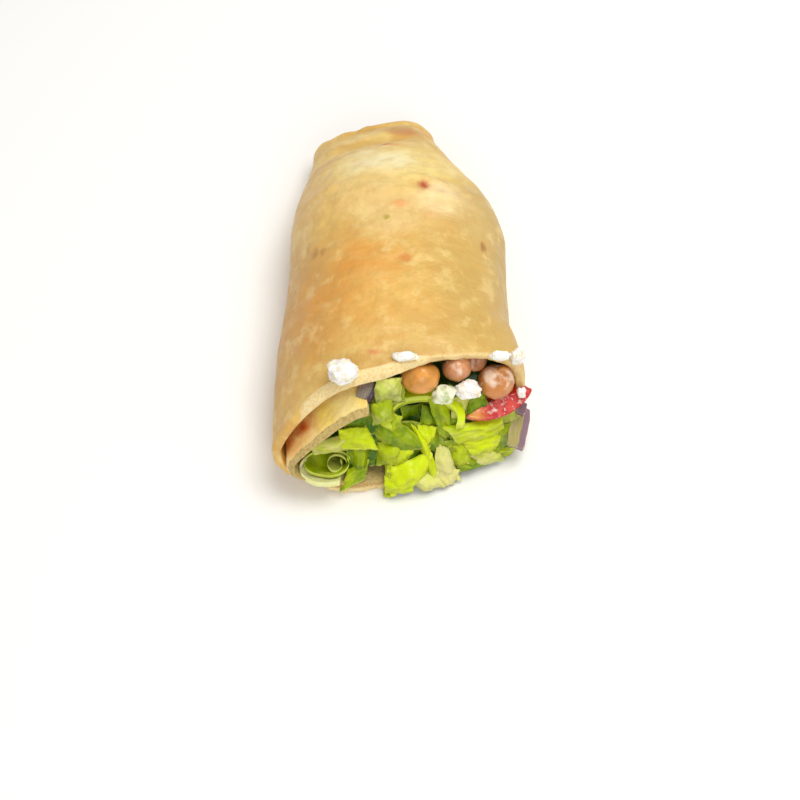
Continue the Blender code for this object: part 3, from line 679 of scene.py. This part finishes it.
# Lettuce leaves: tone and paleness, then in millimetres and degrees the place across the mouth, the height,
# how far it stands out, width, length, spin, skew, lean from the knife's path, swing, how much wider it is
# at the top, and bulge
# The tones are the leaves' own greens and painted shade as well: leaves set back in the heap, behind others,
# have darker tones
LEAVES = (
    (0.45, 0.55, -3.5, 39.5, 2.5, 7, 7, 0, 0, 0, 15, -0.1, 1.4),
    (0.62, 0.35, -5, 32.5, 3, 5.5, 8, 15, 0, 0, 20, 0, 1.6),
    (0.56, 0.00, -3, 23.5, 1, 3.5, 9.5, -30, 10, 0, 0, 0.1, 0.8),
    (0.30, 0.00, -6, 22, 0, 5, 5.5, -5, 5, -5, 10, 0, 0.4),
    (0.34, 0.00, 5.5, 21, -3.5, 9.5, 7.5, 5, 5, 10, 10, -0.1, -0.6),
    (0.44, 0.00, 8.5, 21.5, -2, 5.5, 6.5, -15, 15, 10, 20, 0, 1),
    (0.40, 0.10, -1, 21, 1.5, 8, 11.5, 20, 25, 0, 5, 0, 0.9),
    (0.66, 0.15, -2.5, 15, 1.5, 7.5, 7.5, 5, 0, 0, 0, -0.1, 1.8),
    (0.80, 0.15, -1, 15, 2.5, 7.5, 5.5, -10, 5, 5, 10, 0.2, 1),
    (1.00, 0.00, 3, 8, 3, 12, 9, 25, -15, 0, 10, 0, 1.6),
    (0.72, 0.00, -3.5, 6.5, 2.5, 4, 11.5, 15, -45, 10, -50, 0.1, 0.3),
    (0.95, 0.20, 0, 5.5, 4, 8, 5.5, 5, -10, 0, 5, 0.1, 1),
    (0.92, 0.15, 8, 13.5, 2.5, 5.5, 7, -35, 65, 10, 25, 0, 0.8),
    (0.90, 0.15, 7.5, 18.5, 1, 4, 6.5, -5, 10, 5, 20, 0.4, 0.8),
    (0.75, 0.85, 13, 9.5, 2.5, 6.5, 8.5, -15, 35, 5, 25, -0.5, 1),
    (0.72, 0.80, 13.5, 4.5, 3.5, 6.5, 5, -5, 25, 5, 25, 0.4, 0.8),
    (0.80, 0.70, 8.5, 5, 4, 7.5, 5.5, 15, 20, 5, 15, 0.2, 1.2),
    (0.46, 0.00, 13, 14, 1, 9.5, 5.5, -25, 20, 5, 20, 0, 0.4),
    (0.62, 0.00, 18, 9.5, 1.5, 5.5, 7, 10, 0, 0, 20, 0.1, 0.8),
    (0.82, 0.30, 22.5, 16.5, 1.5, 15, 6, 10, 25, 10, 25, 0.1, 1.2),
    (0.88, 0.20, 24.5, 11, 2, 9.5, 5, 15, 0, 10, 25, 0.3, 0.9),
    (0.62, 0.55, 17, 27, 1, 4.5, 6, 10, -5, 5, 20, 0.2, 0.9),
    (0.15, 0.00, 16, 29.5, -0.5, 6, 4.5, -20, 15, 10, 25, 0.1, 0.3),
    (0.33, 0.00, 22, 25.5, 0.5, 5.5, 4, 25, -10, 10, 20, -0.2, 0.7),
    (0.42, 0.00, 16.5, 22.5, 1, 4, 2.5, 5, -5, 10, 20, 0.1, 0.6),
    (0.48, 0.05, 12, 23.5, 0.5, 5.5, 8.5, -35, 45, -5, 0, 0.3, 0.8),
    (0.60, 0.60, 24.5, 6, 2, 9.5, 5, 15, 15, 5, 25, -0.1, 0.8),
    (0.48, 0.05, 22, 4.5, 2, 9, 2.5, 15, -5, 15, 20, 0.1, 0.6),
    (0.66, 0.15, 30.5, 4, 1, 7.5, 2.5, -5, 10, 10, 40, 0.1, 0.5),
    (0.98, 0.10, -12.5, 22, 2, 8.5, 6, 0, 20, 5, 10, -0.1, 0.7),
    (0.84, 0.60, -20.5, 20.5, 1.8, 9, 4, 10, 10, 10, 5, 0, 1.0),
    (0.42, 0.00, -11.5, 14, 1, 4, 8, 5, 0, 0, 10, 0.1, 1.4),
    (0.52, 0.05, -13, 8.5, 2, 7, 4.5, 30, -45, 10, 0, -0.1, 0.6),
    (0.70, 0.10, -12.5, 38.5, 0.5, 3.5, 1.5, 20, -5, 15, 0, 0.1, 0.3),
    (0.34, 0.00, -10, 27, -0.5, 9.5, 10.5, 5, -5, 0, 5, -0.1, 0.4),
    (0.50, 0.20, -3.5, 34.5, -0.5, 8.5, 7, 15, 0, 0, 5, 0.1, 0.4),
    (0.28, 0.00, 16, 26.5, -1, 9.5, 8, 5, 5, 5, 20, 0, 0.4),
    (0.36, 0.00, 5.5, 13.5, -0.5, 17, 16, 0, 10, 0, 15, 0, 0.6),
    (0.40, 0.00, 23, 8, 0, 20, 12.5, 15, 0, 0, 25, 0, 0.6),
    (0.30, 0.00, -10.5, 15, 0, 9, 11, 10, -5, -5, 10, 0, 0.4),
    (0.52, 0.45, 32, 16, -0.5, 8, 6.5, 45, -10, 5, 30, 0.1, 0.5),
)
# Rolled leaves: tone, paleness, thickness, the middle of the near end and the way that it runs back, half its
# width and height, where round it the roll starts and ends in degrees, how far its end winds in, and how much
# wider it is at the back
ROLLS = (
    # The first roll has the lightest tone as painted light, against the shade of the lip and chickpeas over
    # it
    (1.00, 0.10, 0.0034, (0.0067, -0.0552, 0.0284), (-0.0008, 0.0026, -0.0022),
     0.0096, 0.0066, -15, 200, 1.00, 0.34),
    (0.72, 0.30, 0.0014, (-0.0211, -0.0622, 0.0146), (0.0004, 0.0096, -0.0078),
     0.0070, 0.0040, 18, 384, 0.90, 0.0),
    (0.80, 1.60, 0.0030, (-0.0213, -0.0636, 0.0146), (0.0004, 0.0060, -0.0050),
     0.0078, 0.0046, 140, 300, 0.97, 0.0),
    (0.66, 0.55, 0.0012, (-0.0186, -0.0620, 0.0137), (0.0004, 0.0070, -0.0060),
     0.0033, 0.0032, -40, 400, 0.50, 0.0),
)


def lining(turn, y):
    """The bread's thickness at a turn: one layer, or two where the inner turn lies inside."""
    share = turn_share(turn)
    if -0.06 < share < 1.02 and y < TURN_BACK_Y + 0.006:
        return turn_inset(share, y) + BREAD / 2
    return BREAD


def held_in(point, margin):
    """A point of the filling, pulled in from the bread round it. In front of the mouth it is free."""
    y = MOUTH_Y + point.y - cut_y(point.x, point.z)
    left, right = sides(y)
    low, high = levels(y)
    middle = blend(low, high, BELLY)
    x = point.x - (left + right) / 2
    z = point.z - middle
    turn = math.atan2(z / (high - middle), x / ((right - left) / 2)) % (2 * math.pi)
    share = turn_share(turn)
    reach = turn_reach(share) if -0.06 < share < 1.02 else 0.0
    if y < MOUTH_Y - reach - margin:
        return Vector((point.x, point.y, max(point.z, FLOOR)))
    inset = lining(turn, y) + margin
    half_width = (right - left) / 2 - inset
    power = squareness(y, turn)
    if z >= 0:
        half_height = high - middle - inset
    else:
        half_height = middle - low - inset
        power = UNDER_POWER
    outside = (abs(x) / half_width) ** power + (abs(z) / half_height) ** power
    if outside <= 1:
        return point
    pull = outside ** (-1 / power)
    return Vector(((left + right) / 2 + x * pull, point.y, middle + z * pull))


def front_y(x, z):
    """The heap's front, between and behind the leaves that show."""
    short = CHICKPEA_RECESS * ease((z - 0.026) / 0.008) * ease((x + 0.002) / 0.004)
    for across, height, radius, depth in HOLLOWS:
        short += depth * math.exp(-(((x - across) ** 2 + (z - height) ** 2) / radius ** 2))
    crumple = 0.0012 * noise.noise(Vector((x, 0, z)) * 260) + 0.0006 * noise.noise(Vector((x, 2, z)) * 700)
    return face_y(x, z) + 0.0008 + short + crumple


def core(turn, along):
    """The core of the heap: its front from a point in the middle out to the bread, then its side."""
    nose_share, nose_height = CORE_NOSE
    share = max(0.0, (along - nose_share) / (1 - nose_share))
    y = blend(MOUTH_Y, CORE_BACK_Y, share)
    point = rolled(turn, y, lining(turn, y) + CLEAR)
    if along < nose_share:
        spread = along / nose_share
        point.x = blend(0, point.x, spread)
        point.z = blend(nose_height, point.z, spread)
    point.y += (front_y(point.x, point.z) - cut_y(point.x, point.z)) * (1 - ease(share / 0.35))
    if along < nose_share:
        point.y = front_y(point.x, point.z)
    return point


def facing(middle, spin, lean, swing):
    """Where a piece in the mouth goes. Unturned, it faces forwards and up, its length up the mouth."""
    up = Matrix.Rotation(math.radians(90 - FACING_UP), 4, "X")
    turned = Matrix.Rotation(math.radians(spin), 4, "Z")
    turned = Matrix.Rotation(math.radians(-lean), 4, "X") @ turned
    turned = Matrix.Rotation(math.radians(swing), 4, "Y") @ turned
    return Matrix.Translation(middle) @ up @ turned


def patch_leaf(shape, number):
    """A cut piece of leaf on the knife's path through the heap, bulged, ruffled, and with uneven edges."""
    x, z, out, wide, long, spin, skew, lean, swing, taper, bulge = shape
    middle = Vector((x / 1000, face_y(x / 1000, z / 1000) - out / 1000, z / 1000))
    place = facing(middle, spin, FACE_LEAN + lean, swing)
    wide, long = LEAF_SPREAD * wide / 1000, LEAF_SPREAD * long / 1000
    size = math.hypot(wide, long)

    def put(across, along):
        bitten = 0.05 * noise.noise(Vector((6 * along, number, 0))) * (2 * across - 1)
        nibbled = 0.05 * noise.noise(Vector((6 * across, number, 9))) * (2 * along - 1)
        side, end = across - 0.5 + bitten, along - 0.5 + nibbled
        left_over = side * wide * (1 + 2 * taper * end) - end * long * math.tan(math.radians(skew))
        dome = 16 * across * (1 - across) * along * (1 - along)
        ruffle = 0.10 * size * noise.noise(Vector((2.4 * across, 2.4 * along, 3.7 * number)))
        crinkle = 0.035 * size * noise.noise(Vector((6 * across, 6 * along, 5.1 * number)))
        raised = LEAF_DOME * bulge * dome + ruffle + crinkle
        return held_in(place @ Vector((left_over, end * long, raised)), LEAF_MARGIN)

    return sheet(LEAF_COLUMNS, LEAF_ROWS, put)


def rolled_leaf(shape, number):
    """A leaf rolled round a line that runs back from its open near end, which faces forwards and up."""
    middle, back, half_wide, half_tall, start, end, winding, flare = shape
    up = Vector((0, math.sin(math.radians(FACING_UP)), math.cos(math.radians(FACING_UP))))

    def put(across, along):
        turn = math.radians(blend(start, end, across))
        wavy = 1 + 0.06 * noise.noise(Vector((3 * across, 2 * along, number)))
        shrink = blend(1, winding, across) * wavy
        ring = Vector((half_wide * math.cos(turn), 0, 0)) + half_tall * math.sin(turn) * up
        ragged = 0.08 * noise.noise(Vector((7 * across, number, 4.0))) * (1 - along)
        point = Vector(middle) + ring * shrink * (1 + flare * along) + Vector(back) * (along + ragged)
        return held_in(point, LEAF_MARGIN)

    return sheet(3 * LEAF_COLUMNS, LEAF_ROWS, put)


# The greens of the leaves, from the darkest tone to the lightest
GREENS = (
    (0.00, (34, 78, 0)),
    (0.18, (58, 108, 0)),
    (0.42, (132, 158, 0)),
    (0.68, (188, 206, 14)),
    (1.00, (216, 238, 8)),
)
lettuce = Finish("romaine_lettuce")
at = lettuce.place()
chart = lettuce.chart()
across, along = lettuce.split(chart, "X"), lettuce.split(chart, "Y")
greens = lettuce.tree.nodes.new("ShaderNodeValToRGB")
while len(greens.color_ramp.elements) < len(GREENS):
    greens.color_ramp.elements.new(0.5)
for stop, (position, shade) in zip(greens.color_ramp.elements, GREENS):
    stop.position = position
    stop.color = tint(*shade)
blotch = lettuce.between(lettuce.noise(at, 170, 4.0), 0.3, 0.7, -0.13, 0.13)
# Each leaf grows lighter along its length, towards the upper end of those on the cut: painted shading
lettuce.feed(greens.inputs[0], lettuce.noted("tone") + blotch + (along - 0.5) * 0.22)
colour = Wire(lettuce, greens.outputs[0])
cells = {"Vector": lettuce.vector("MULTIPLY", chart, (5.0, 3.2, 1.0)), "Scale": 1.0, "Randomness": 0.9}
to_vein = lettuce.node("ShaderNodeTexVoronoi", {"feature": "DISTANCE_TO_EDGE"}, cells, "Distance")
vein = lettuce.between(to_vein, 0.0, 0.07, 1.0, 0.0)
colour = lettuce.mix(vein * 0.16, colour, tint(206, 216, 90))
pale = lettuce.noted("pale")
ribbed = lettuce.between(pale + (lettuce.noise(at, 300, 3.0) - 0.5) * 0.9, 0.25, 0.85)
colour = lettuce.mix(ribbed, colour, tint(228, 226, 136))
colour = lettuce.mix(lettuce.between(pale, 1.0, 1.5) * 0.8, colour, tint(244, 240, 196))
to_side, to_end = across.sum("MINIMUM", across, 1 - across), along.sum("MINIMUM", along, 1 - along)
to_edge = across.sum("MINIMUM", to_side, to_end)
colour = lettuce.mix(lettuce.between(to_edge, 0.010, 0.040, 0.38, 0.0), colour, tint(232, 236, 122))
roughness = lettuce.between(lettuce.noise(at, 420, 3.0), 0.35, 0.65, 0.22, 0.42)
crinkles = lettuce.noise(at, 520, 3.0, 0.5)
skin = lettuce.noise(at, 3000, 2.0, 0.5)
normal = lettuce.bumped((vein, 0.12, 0.0002), (crinkles, 0.30, 0.0004), (skin, 0.08, 0.0001))
glow = {"Subsurface_Weight": 0.35, "Subsurface_Scale": 0.0015, "Subsurface_Radius": (0.6, 1.0, 0.15)}
lettuce.end(colour, roughness, normal, **glow, Specular_IOR_Level=0.2, Coat_Weight=0.10, Coat_Roughness=0.10)

leaves = bmesh.new()
sheets = []
for number, (tone, paleness, *shape) in enumerate(LEAVES):
    sheets.append((tone, paleness, LEAF, patch_leaf(shape, number)))
for number, (tone, paleness, thick, *shape) in enumerate(ROLLS):
    sheets.append((tone, paleness, thick, rolled_leaf(shape, number)))
holder = bpy.data.meshes.new("one_leaf")
for tone, paleness, thick, bm in sheets:
    tones = bm.verts.layers.float.new("tone")
    pales = bm.verts.layers.float.new("pale")
    for vert in bm.verts:
        vert[tones] = tone
        vert[pales] = paleness
    bmesh.ops.solidify(bm, geom=bm.faces, thickness=thick)
    bmesh.ops.recalc_face_normals(bm, faces=bm.faces)
    bm.to_mesh(holder)
    bm.free()
    leaves.from_mesh(holder)
finished(leaves, "lettuce_leaves", lettuce.material, "salad")
bm = tube(110, 90, core)
# The core's tone falls to the deepest green towards its top, under the chickpeas: painted shade
tones = bm.verts.layers.float.new("tone")
for vert in bm.verts:
    vert[tones] = 0.24 - 0.24 * ease((vert.co.z - 0.026) / 0.006)
finished(bm, "lettuce_core", lettuce.material, "salad")

# The chickpeas are cooked: smooth tan skins over uneven balls, with a beak and a groove, and thin white
# dressing on the tops of those at the right. Each one's middle, half sizes, colour and share of dressing
# follow.
CHICKPEAS = (
    ((0.0056, -0.0468, 0.0378), (0.0058, 0.0052, 0.0050), (230, 158, 70), 0.0),
    ((0.0160, -0.0432, 0.0373), (0.0043, 0.0045, 0.0046), (216, 146, 96), 0.90),
    ((0.0214, -0.0386, 0.0338), (0.0037, 0.0039, 0.0037), (206, 140, 96), 0.7),
    ((0.0276, -0.0438, 0.0300), (0.0054, 0.0052, 0.0053), (212, 136, 68), 0.8),
)
DRESSING = (240, 214, 190)


def seated(point, middle, half):
    """A point of a ball of radius 1, carried to a lump about middle with these half sizes."""
    return Vector([middle[axis] + half[axis] * point[axis] for axis in range(3)])


for number, (middle, half, shade, dressed) in enumerate(CHICKPEAS, 1):
    skin = Finish(f"chickpea_skin_{number}")
    at = skin.place()
    mottle = skin.between(skin.noise(at, 260, 4.0), 0.3, 0.7)
    colour = skin.mix(mottle, tint(*shade), tint(*(0.84 * part for part in shade)))
    freckles = skin.between(skin.noise(at, 1800, 2.0), 0.62, 0.72)
    colour = skin.mix(freckles * 0.3, colour, tint(250, 200, 130))
    height = skin.split(skin.vector("SUBTRACT", at, middle), "Z")
    patchy = height * 160.0 + (skin.noise(at, 330, 3.0) - 0.5) * 2.6
    film = skin.between(patchy, 0.35, 0.9) * dressed
    colour = skin.mix(film, colour, tint(*DRESSING))
    pores = skin.noise(at, 2200, 3.0)
    normal = skin.bumped((mottle, 0.3, 0.0004), (film, 0.3, 0.0003), (pores, 0.15, 0.0001))
    roughness = skin.between(mottle, 0.0, 1.0, 0.26, 0.40)
    glow = {"Subsurface_Weight": 0.15, "Subsurface_Scale": 0.002}
    skin.end(colour, roughness, normal, **glow, Coat_Weight=0.25, Coat_Roughness=0.2)
    bm = bmesh.new()
    bmesh.ops.create_uvsphere(bm, u_segments=72, v_segments=44, radius=1.0)
    draw = random.Random(number)
    turned = Matrix.Rotation(draw.uniform(0, 2 * math.pi), 3, "Z")
    for vert in bm.verts:
        beak = 0.10 * math.exp(-((vert.co - Vector((0, 0, 1))).length / 0.35) ** 2)
        groove = 0.09 * math.exp(-((vert.co.y / 0.25) ** 2)) * ease((vert.co.z + 0.1) / 0.5)
        uneven = 0.05 * noise.noise(vert.co * 1.6 + Vector((number, 0, 0)))
        uneven += 0.012 * noise.noise(vert.co * 6)
        vert.co = seated(turned @ (vert.co * (0.98 + beak - groove + uneven)), middle, half)
    finished(bm, f"chickpea_skin_{number}", skin.material, f"chickpea_{number}")

# The cheese is white and crumbly: broken lumps with rough grainy faces, lying on the lip, among the
# chickpeas and on the tomato. One is wet through and greener. Each one's middle and half sizes follow.
CRUMBS = (
    ((-0.0160, -0.0505, 0.0466), (0.0043, 0.0034, 0.0027)),
    ((0.0014, -0.0463, 0.0479), (0.0036, 0.0013, 0.0012)),
    ((0.0283, -0.0420, 0.0412), (0.0028, 0.0014, 0.0013)),
    ((0.0334, -0.0404, 0.0377), (0.0021, 0.0022, 0.0026)),
    ((0.0194, -0.0494, 0.0344), (0.0036, 0.0026, 0.0027)),
    ((0.0124, -0.0508, 0.0345), (0.0031, 0.0026, 0.0031)),
    ((0.0350, -0.0458, 0.0269), (0.0013, 0.0013, 0.0020)),
)
WET_CRUMB = 6


def curd(name, deep, plain):
    """White cheese with painted shade, in a noise pattern that stands for its hollows, a little darker than
    its grains.
    """
    cheese = Finish(name)
    at = cheese.place()
    grain = cheese.noise(at, 900, 4.0, 0.6)
    # The first colour, the darker one, is painted shade for the hollows; on the wet crumb it is also greener
    painted_hollow_shade = cheese.between(cheese.noise(at, 420, 3.0), 0.30, 0.55)
    colour = cheese.mix(painted_hollow_shade, tint(*deep), tint(*plain))
    normal = cheese.bumped((grain, 0.5, 0.0005), (cheese.noise(at, 3200, 2.0), 0.3, 0.0002))
    return cheese.end(colour, 0.55, normal, Subsurface_Weight=0.4, Subsurface_Scale=0.0015)


dry_curd = curd("white_cheese_crumb", (238, 226, 196), (254, 252, 246))
wet_curd = curd("wet_cheese_crumb", (186, 196, 134), (240, 244, 216))
for number, (middle, half) in enumerate(CRUMBS, 1):
    bm = bmesh.new()
    bmesh.ops.create_icosphere(bm, subdivisions=5, radius=1.0)
    for vert in bm.verts:
        seat = vert.co * 1.7 + Vector((3.1 * number, 0, 0))
        knobs = 0.28 * noise.noise(seat) + 0.10 * noise.noise(seat * 2.3)
        broken = 0.10 * abs(noise.noise(seat * 3.1))
        broken += 0.05 * noise.noise(seat * 8) + 0.02 * noise.noise(seat * 19)
        vert.co = seated(vert.co * (1.0 + knobs + broken), middle, half)
    material = wet_curd if number == WET_CRUMB else dry_curd
    finished(bm, f"white_cheese_{number}", material, f"cheese_crumb_{number}")

# The tomato is the rim of one slice: a long lens of wet red flesh between two tips, with a smooth darker
# skin round its edge. Its left tip is unripe, and thin dressing has run over its right half.
TOMATO_TIPS = ((0.0188, -0.0520, 0.0238), (0.0382, -0.0433, 0.0250))
TOMATO_BULGE = (0.0012, 0.0043)
TOMATO_DEPTH = Vector((-0.0040, 0.0085, -0.0040))
SLICE_FRONT = 0.42
SLICE_BACK = 0.72
SLICE_OUT = Vector((0, -math.cos(math.radians(FACING_UP)), math.sin(math.radians(FACING_UP))))


def slice_outline(turn):
    """A point of the lens's outline on the cut."""
    start, end = (Vector(tip) for tip in TOMATO_TIPS)
    up = SLICE_OUT.cross(end - start).normalized()
    over, under = TOMATO_BULGE
    height = (over if math.sin(turn) > 0 else under) * math.sin(turn)
    swell = 1 - 0.25 * math.cos(turn) ** 2
    return start + (end - start) * (math.cos(turn) + 1) / 2 + up * height * swell


def tomato_slice(turn, along):
    """The slice from the middle of its cut face, over its skin, to the middle of its back."""
    middle = (Vector(TOMATO_TIPS[0]) + Vector(TOMATO_TIPS[1])) / 2
    rim = slice_outline(turn)
    front = min(along / SLICE_FRONT, 1.0)
    side = min(max((along - SLICE_FRONT) / (SLICE_BACK - SLICE_FRONT), 0.0), 1.0)
    back = max(0.0, (along - SLICE_BACK) / (1 - SLICE_BACK))
    reach = front * blend(1.0, 0.72, side) * (1 - 0.98 * back)
    point = middle + (rim - middle) * max(reach, 0.02) + TOMATO_DEPTH * ease(side)
    dented = 0.00035 * noise.noise(point * 330) + 0.00015 * noise.noise(point * 900)
    sunk = 0.0005 * ease((front - 0.8) / 0.2)
    return point + SLICE_OUT * (dented * ease(front / 0.9) - sunk) * (1 - side)


tomato = Finish("tomato_flesh")
at = tomato.place()
cells = tomato.noise(at, 420, 3.0, 0.6)
pulp = tomato.between(cells, 0.35, 0.65)
colour = tomato.mix(pulp, tint(192, 40, 44), tint(226, 92, 84))
watery = tomato.between(tomato.noise(at, 230, 2.0), 0.52, 0.62)
colour = tomato.mix(watery * 0.45, colour, tint(214, 56, 40))
unripe = tomato.stain(at, (0.0190, -0.0525, 0.0230), (0.0048, 0.0050, 0.0050), 0.6)
colour = tomato.mix(unripe * 0.85, colour, tint(236, 170, 66))
skin = tomato.between(tomato.split(tomato.chart(), "Y"), 0.36, 0.41)
colour = tomato.mix(skin * 0.8, colour, tint(176, 22, 26))
run = tomato.stain(at, (0.0305, -0.0475, 0.0240), (0.0062, 0.0060, 0.0050), 0.6)
specks = tomato.between(tomato.noise(at, 620, 3.0, 0.6), 0.56, 0.64) * run
colour = tomato.mix(specks * 0.85, colour, tint(246, 214, 206))
fine = tomato.noise(at, 1600, 2.0)
normal = tomato.bumped((cells, 0.4, 0.0004), (specks, 0.4, 0.0003), (fine, 0.2, 0.0002))
glow = {"Subsurface_Weight": 0.25, "Subsurface_Scale": 0.002}
tomato.end(colour, 0.18, normal, **glow, Coat_Weight=0.4, Coat_Roughness=0.08)
finished(tube(120, 70, tomato_slice), "tomato_rim", tomato.material, "tomato_slice")

# The onion pieces are slips of red onion: thin curved sheets of pale wet flesh with fine lines along them,
# and a purple skin that covers one side.
ONION_BEND = 15
# Slips of onion: middle, then width, length and thickness, spin, lean, swing and curl in degrees, and then
# how much of it the purple skin covers, its flesh's colour and its skin's
ONIONS = (
    ((0.0348, -0.0480, 0.0110), 0.0065, 0.0120, 0.0022, -18, 8, 30, 30,
     0.60, (190, 176, 106), (142, 112, 122)),
    ((0.0352, -0.0462, 0.0190), 0.0030, 0.0034, 0.0014, -20, 0, 20, 15,
     0.30, (142, 124, 112), (128, 98, 108)),
    ((-0.0092, -0.0518, 0.0388), 0.0050, 0.0054, 0.0016, -30, 0, -10, 30,
     0.72, (150, 136, 118), (60, 30, 44)),
)


def curved(wide, long, curl, across, along):
    """A point of a slip: curled round its length by curl, and bent over its width."""
    turn = math.radians(curl) * across
    radius = wide / math.radians(curl)
    dip = math.radians(ONION_BEND) * along
    bent_radius = long / math.radians(ONION_BEND)
    rounding = 1 - 0.16 * abs(2 * along) ** 3
    x = radius * math.sin(turn * rounding)
    z = radius * (math.cos(turn * rounding) - 1) + bent_radius * (math.cos(dip) - 1)
    return Vector((x, bent_radius * math.sin(dip), z))


def onion_slip(number, middle, wide, long, curl, place):
    """A slip of onion in its place, with a wavy surface and uneven sides."""

    def put(across, along):
        point = curved(wide, long, curl, across - 0.5, along - 0.5)
        frill = 0.055 * wide * math.sin(9 * along + 40 * middle[0] / wide) * abs(across - 0.5)
        ragged = Vector((0.04 * wide * noise.noise(Vector((5 * along, number, 0))), 0, 0))
        return place @ (point + ragged + Vector((0, 0, frill)))

    return sheet(30, 40, put)


for number, (middle, wide, long, thick, *turns, curl, cover, flesh, skin_colour) in enumerate(ONIONS, 1):
    onion = Finish(f"red_onion_{number}")
    at = onion.place()
    chart = onion.chart()
    lines = onion.noise(onion.vector("MULTIPLY", chart, (26.0, 2.0, 1.0)), 1.0, 3.0)
    darker = tint(*(0.84 * part for part in flesh))
    colour = onion.mix(onion.between(lines, 0.35, 0.65), tint(*flesh), darker)
    purple = onion.between(onion.split(chart, "X") + (lines - 0.5) * 0.10, cover - 0.06, cover + 0.08)
    colour = onion.mix(purple, colour, tint(*skin_colour))
    normal = onion.bumped((lines, 0.35, 0.0003), (onion.noise(at, 1300, 3.0), 0.15, 0.0001))
    glow = {"Subsurface_Weight": 0.3, "Subsurface_Scale": 0.002}
    onion.end(colour, 0.25, normal, **glow, Coat_Weight=0.25, Coat_Roughness=0.15)
    bm = onion_slip(number, middle, wide, long, curl, facing(middle, *turns))
    bmesh.ops.solidify(bm, geom=bm.faces, thickness=thick)
    raised = facing(Vector(), *turns) @ Vector((0, 0, thick / 2))
    bmesh.ops.translate(bm, verts=bm.verts, vec=raised)
    finished(bm, f"onion_slip_{number}", onion.material, f"onion_slice_{number}")
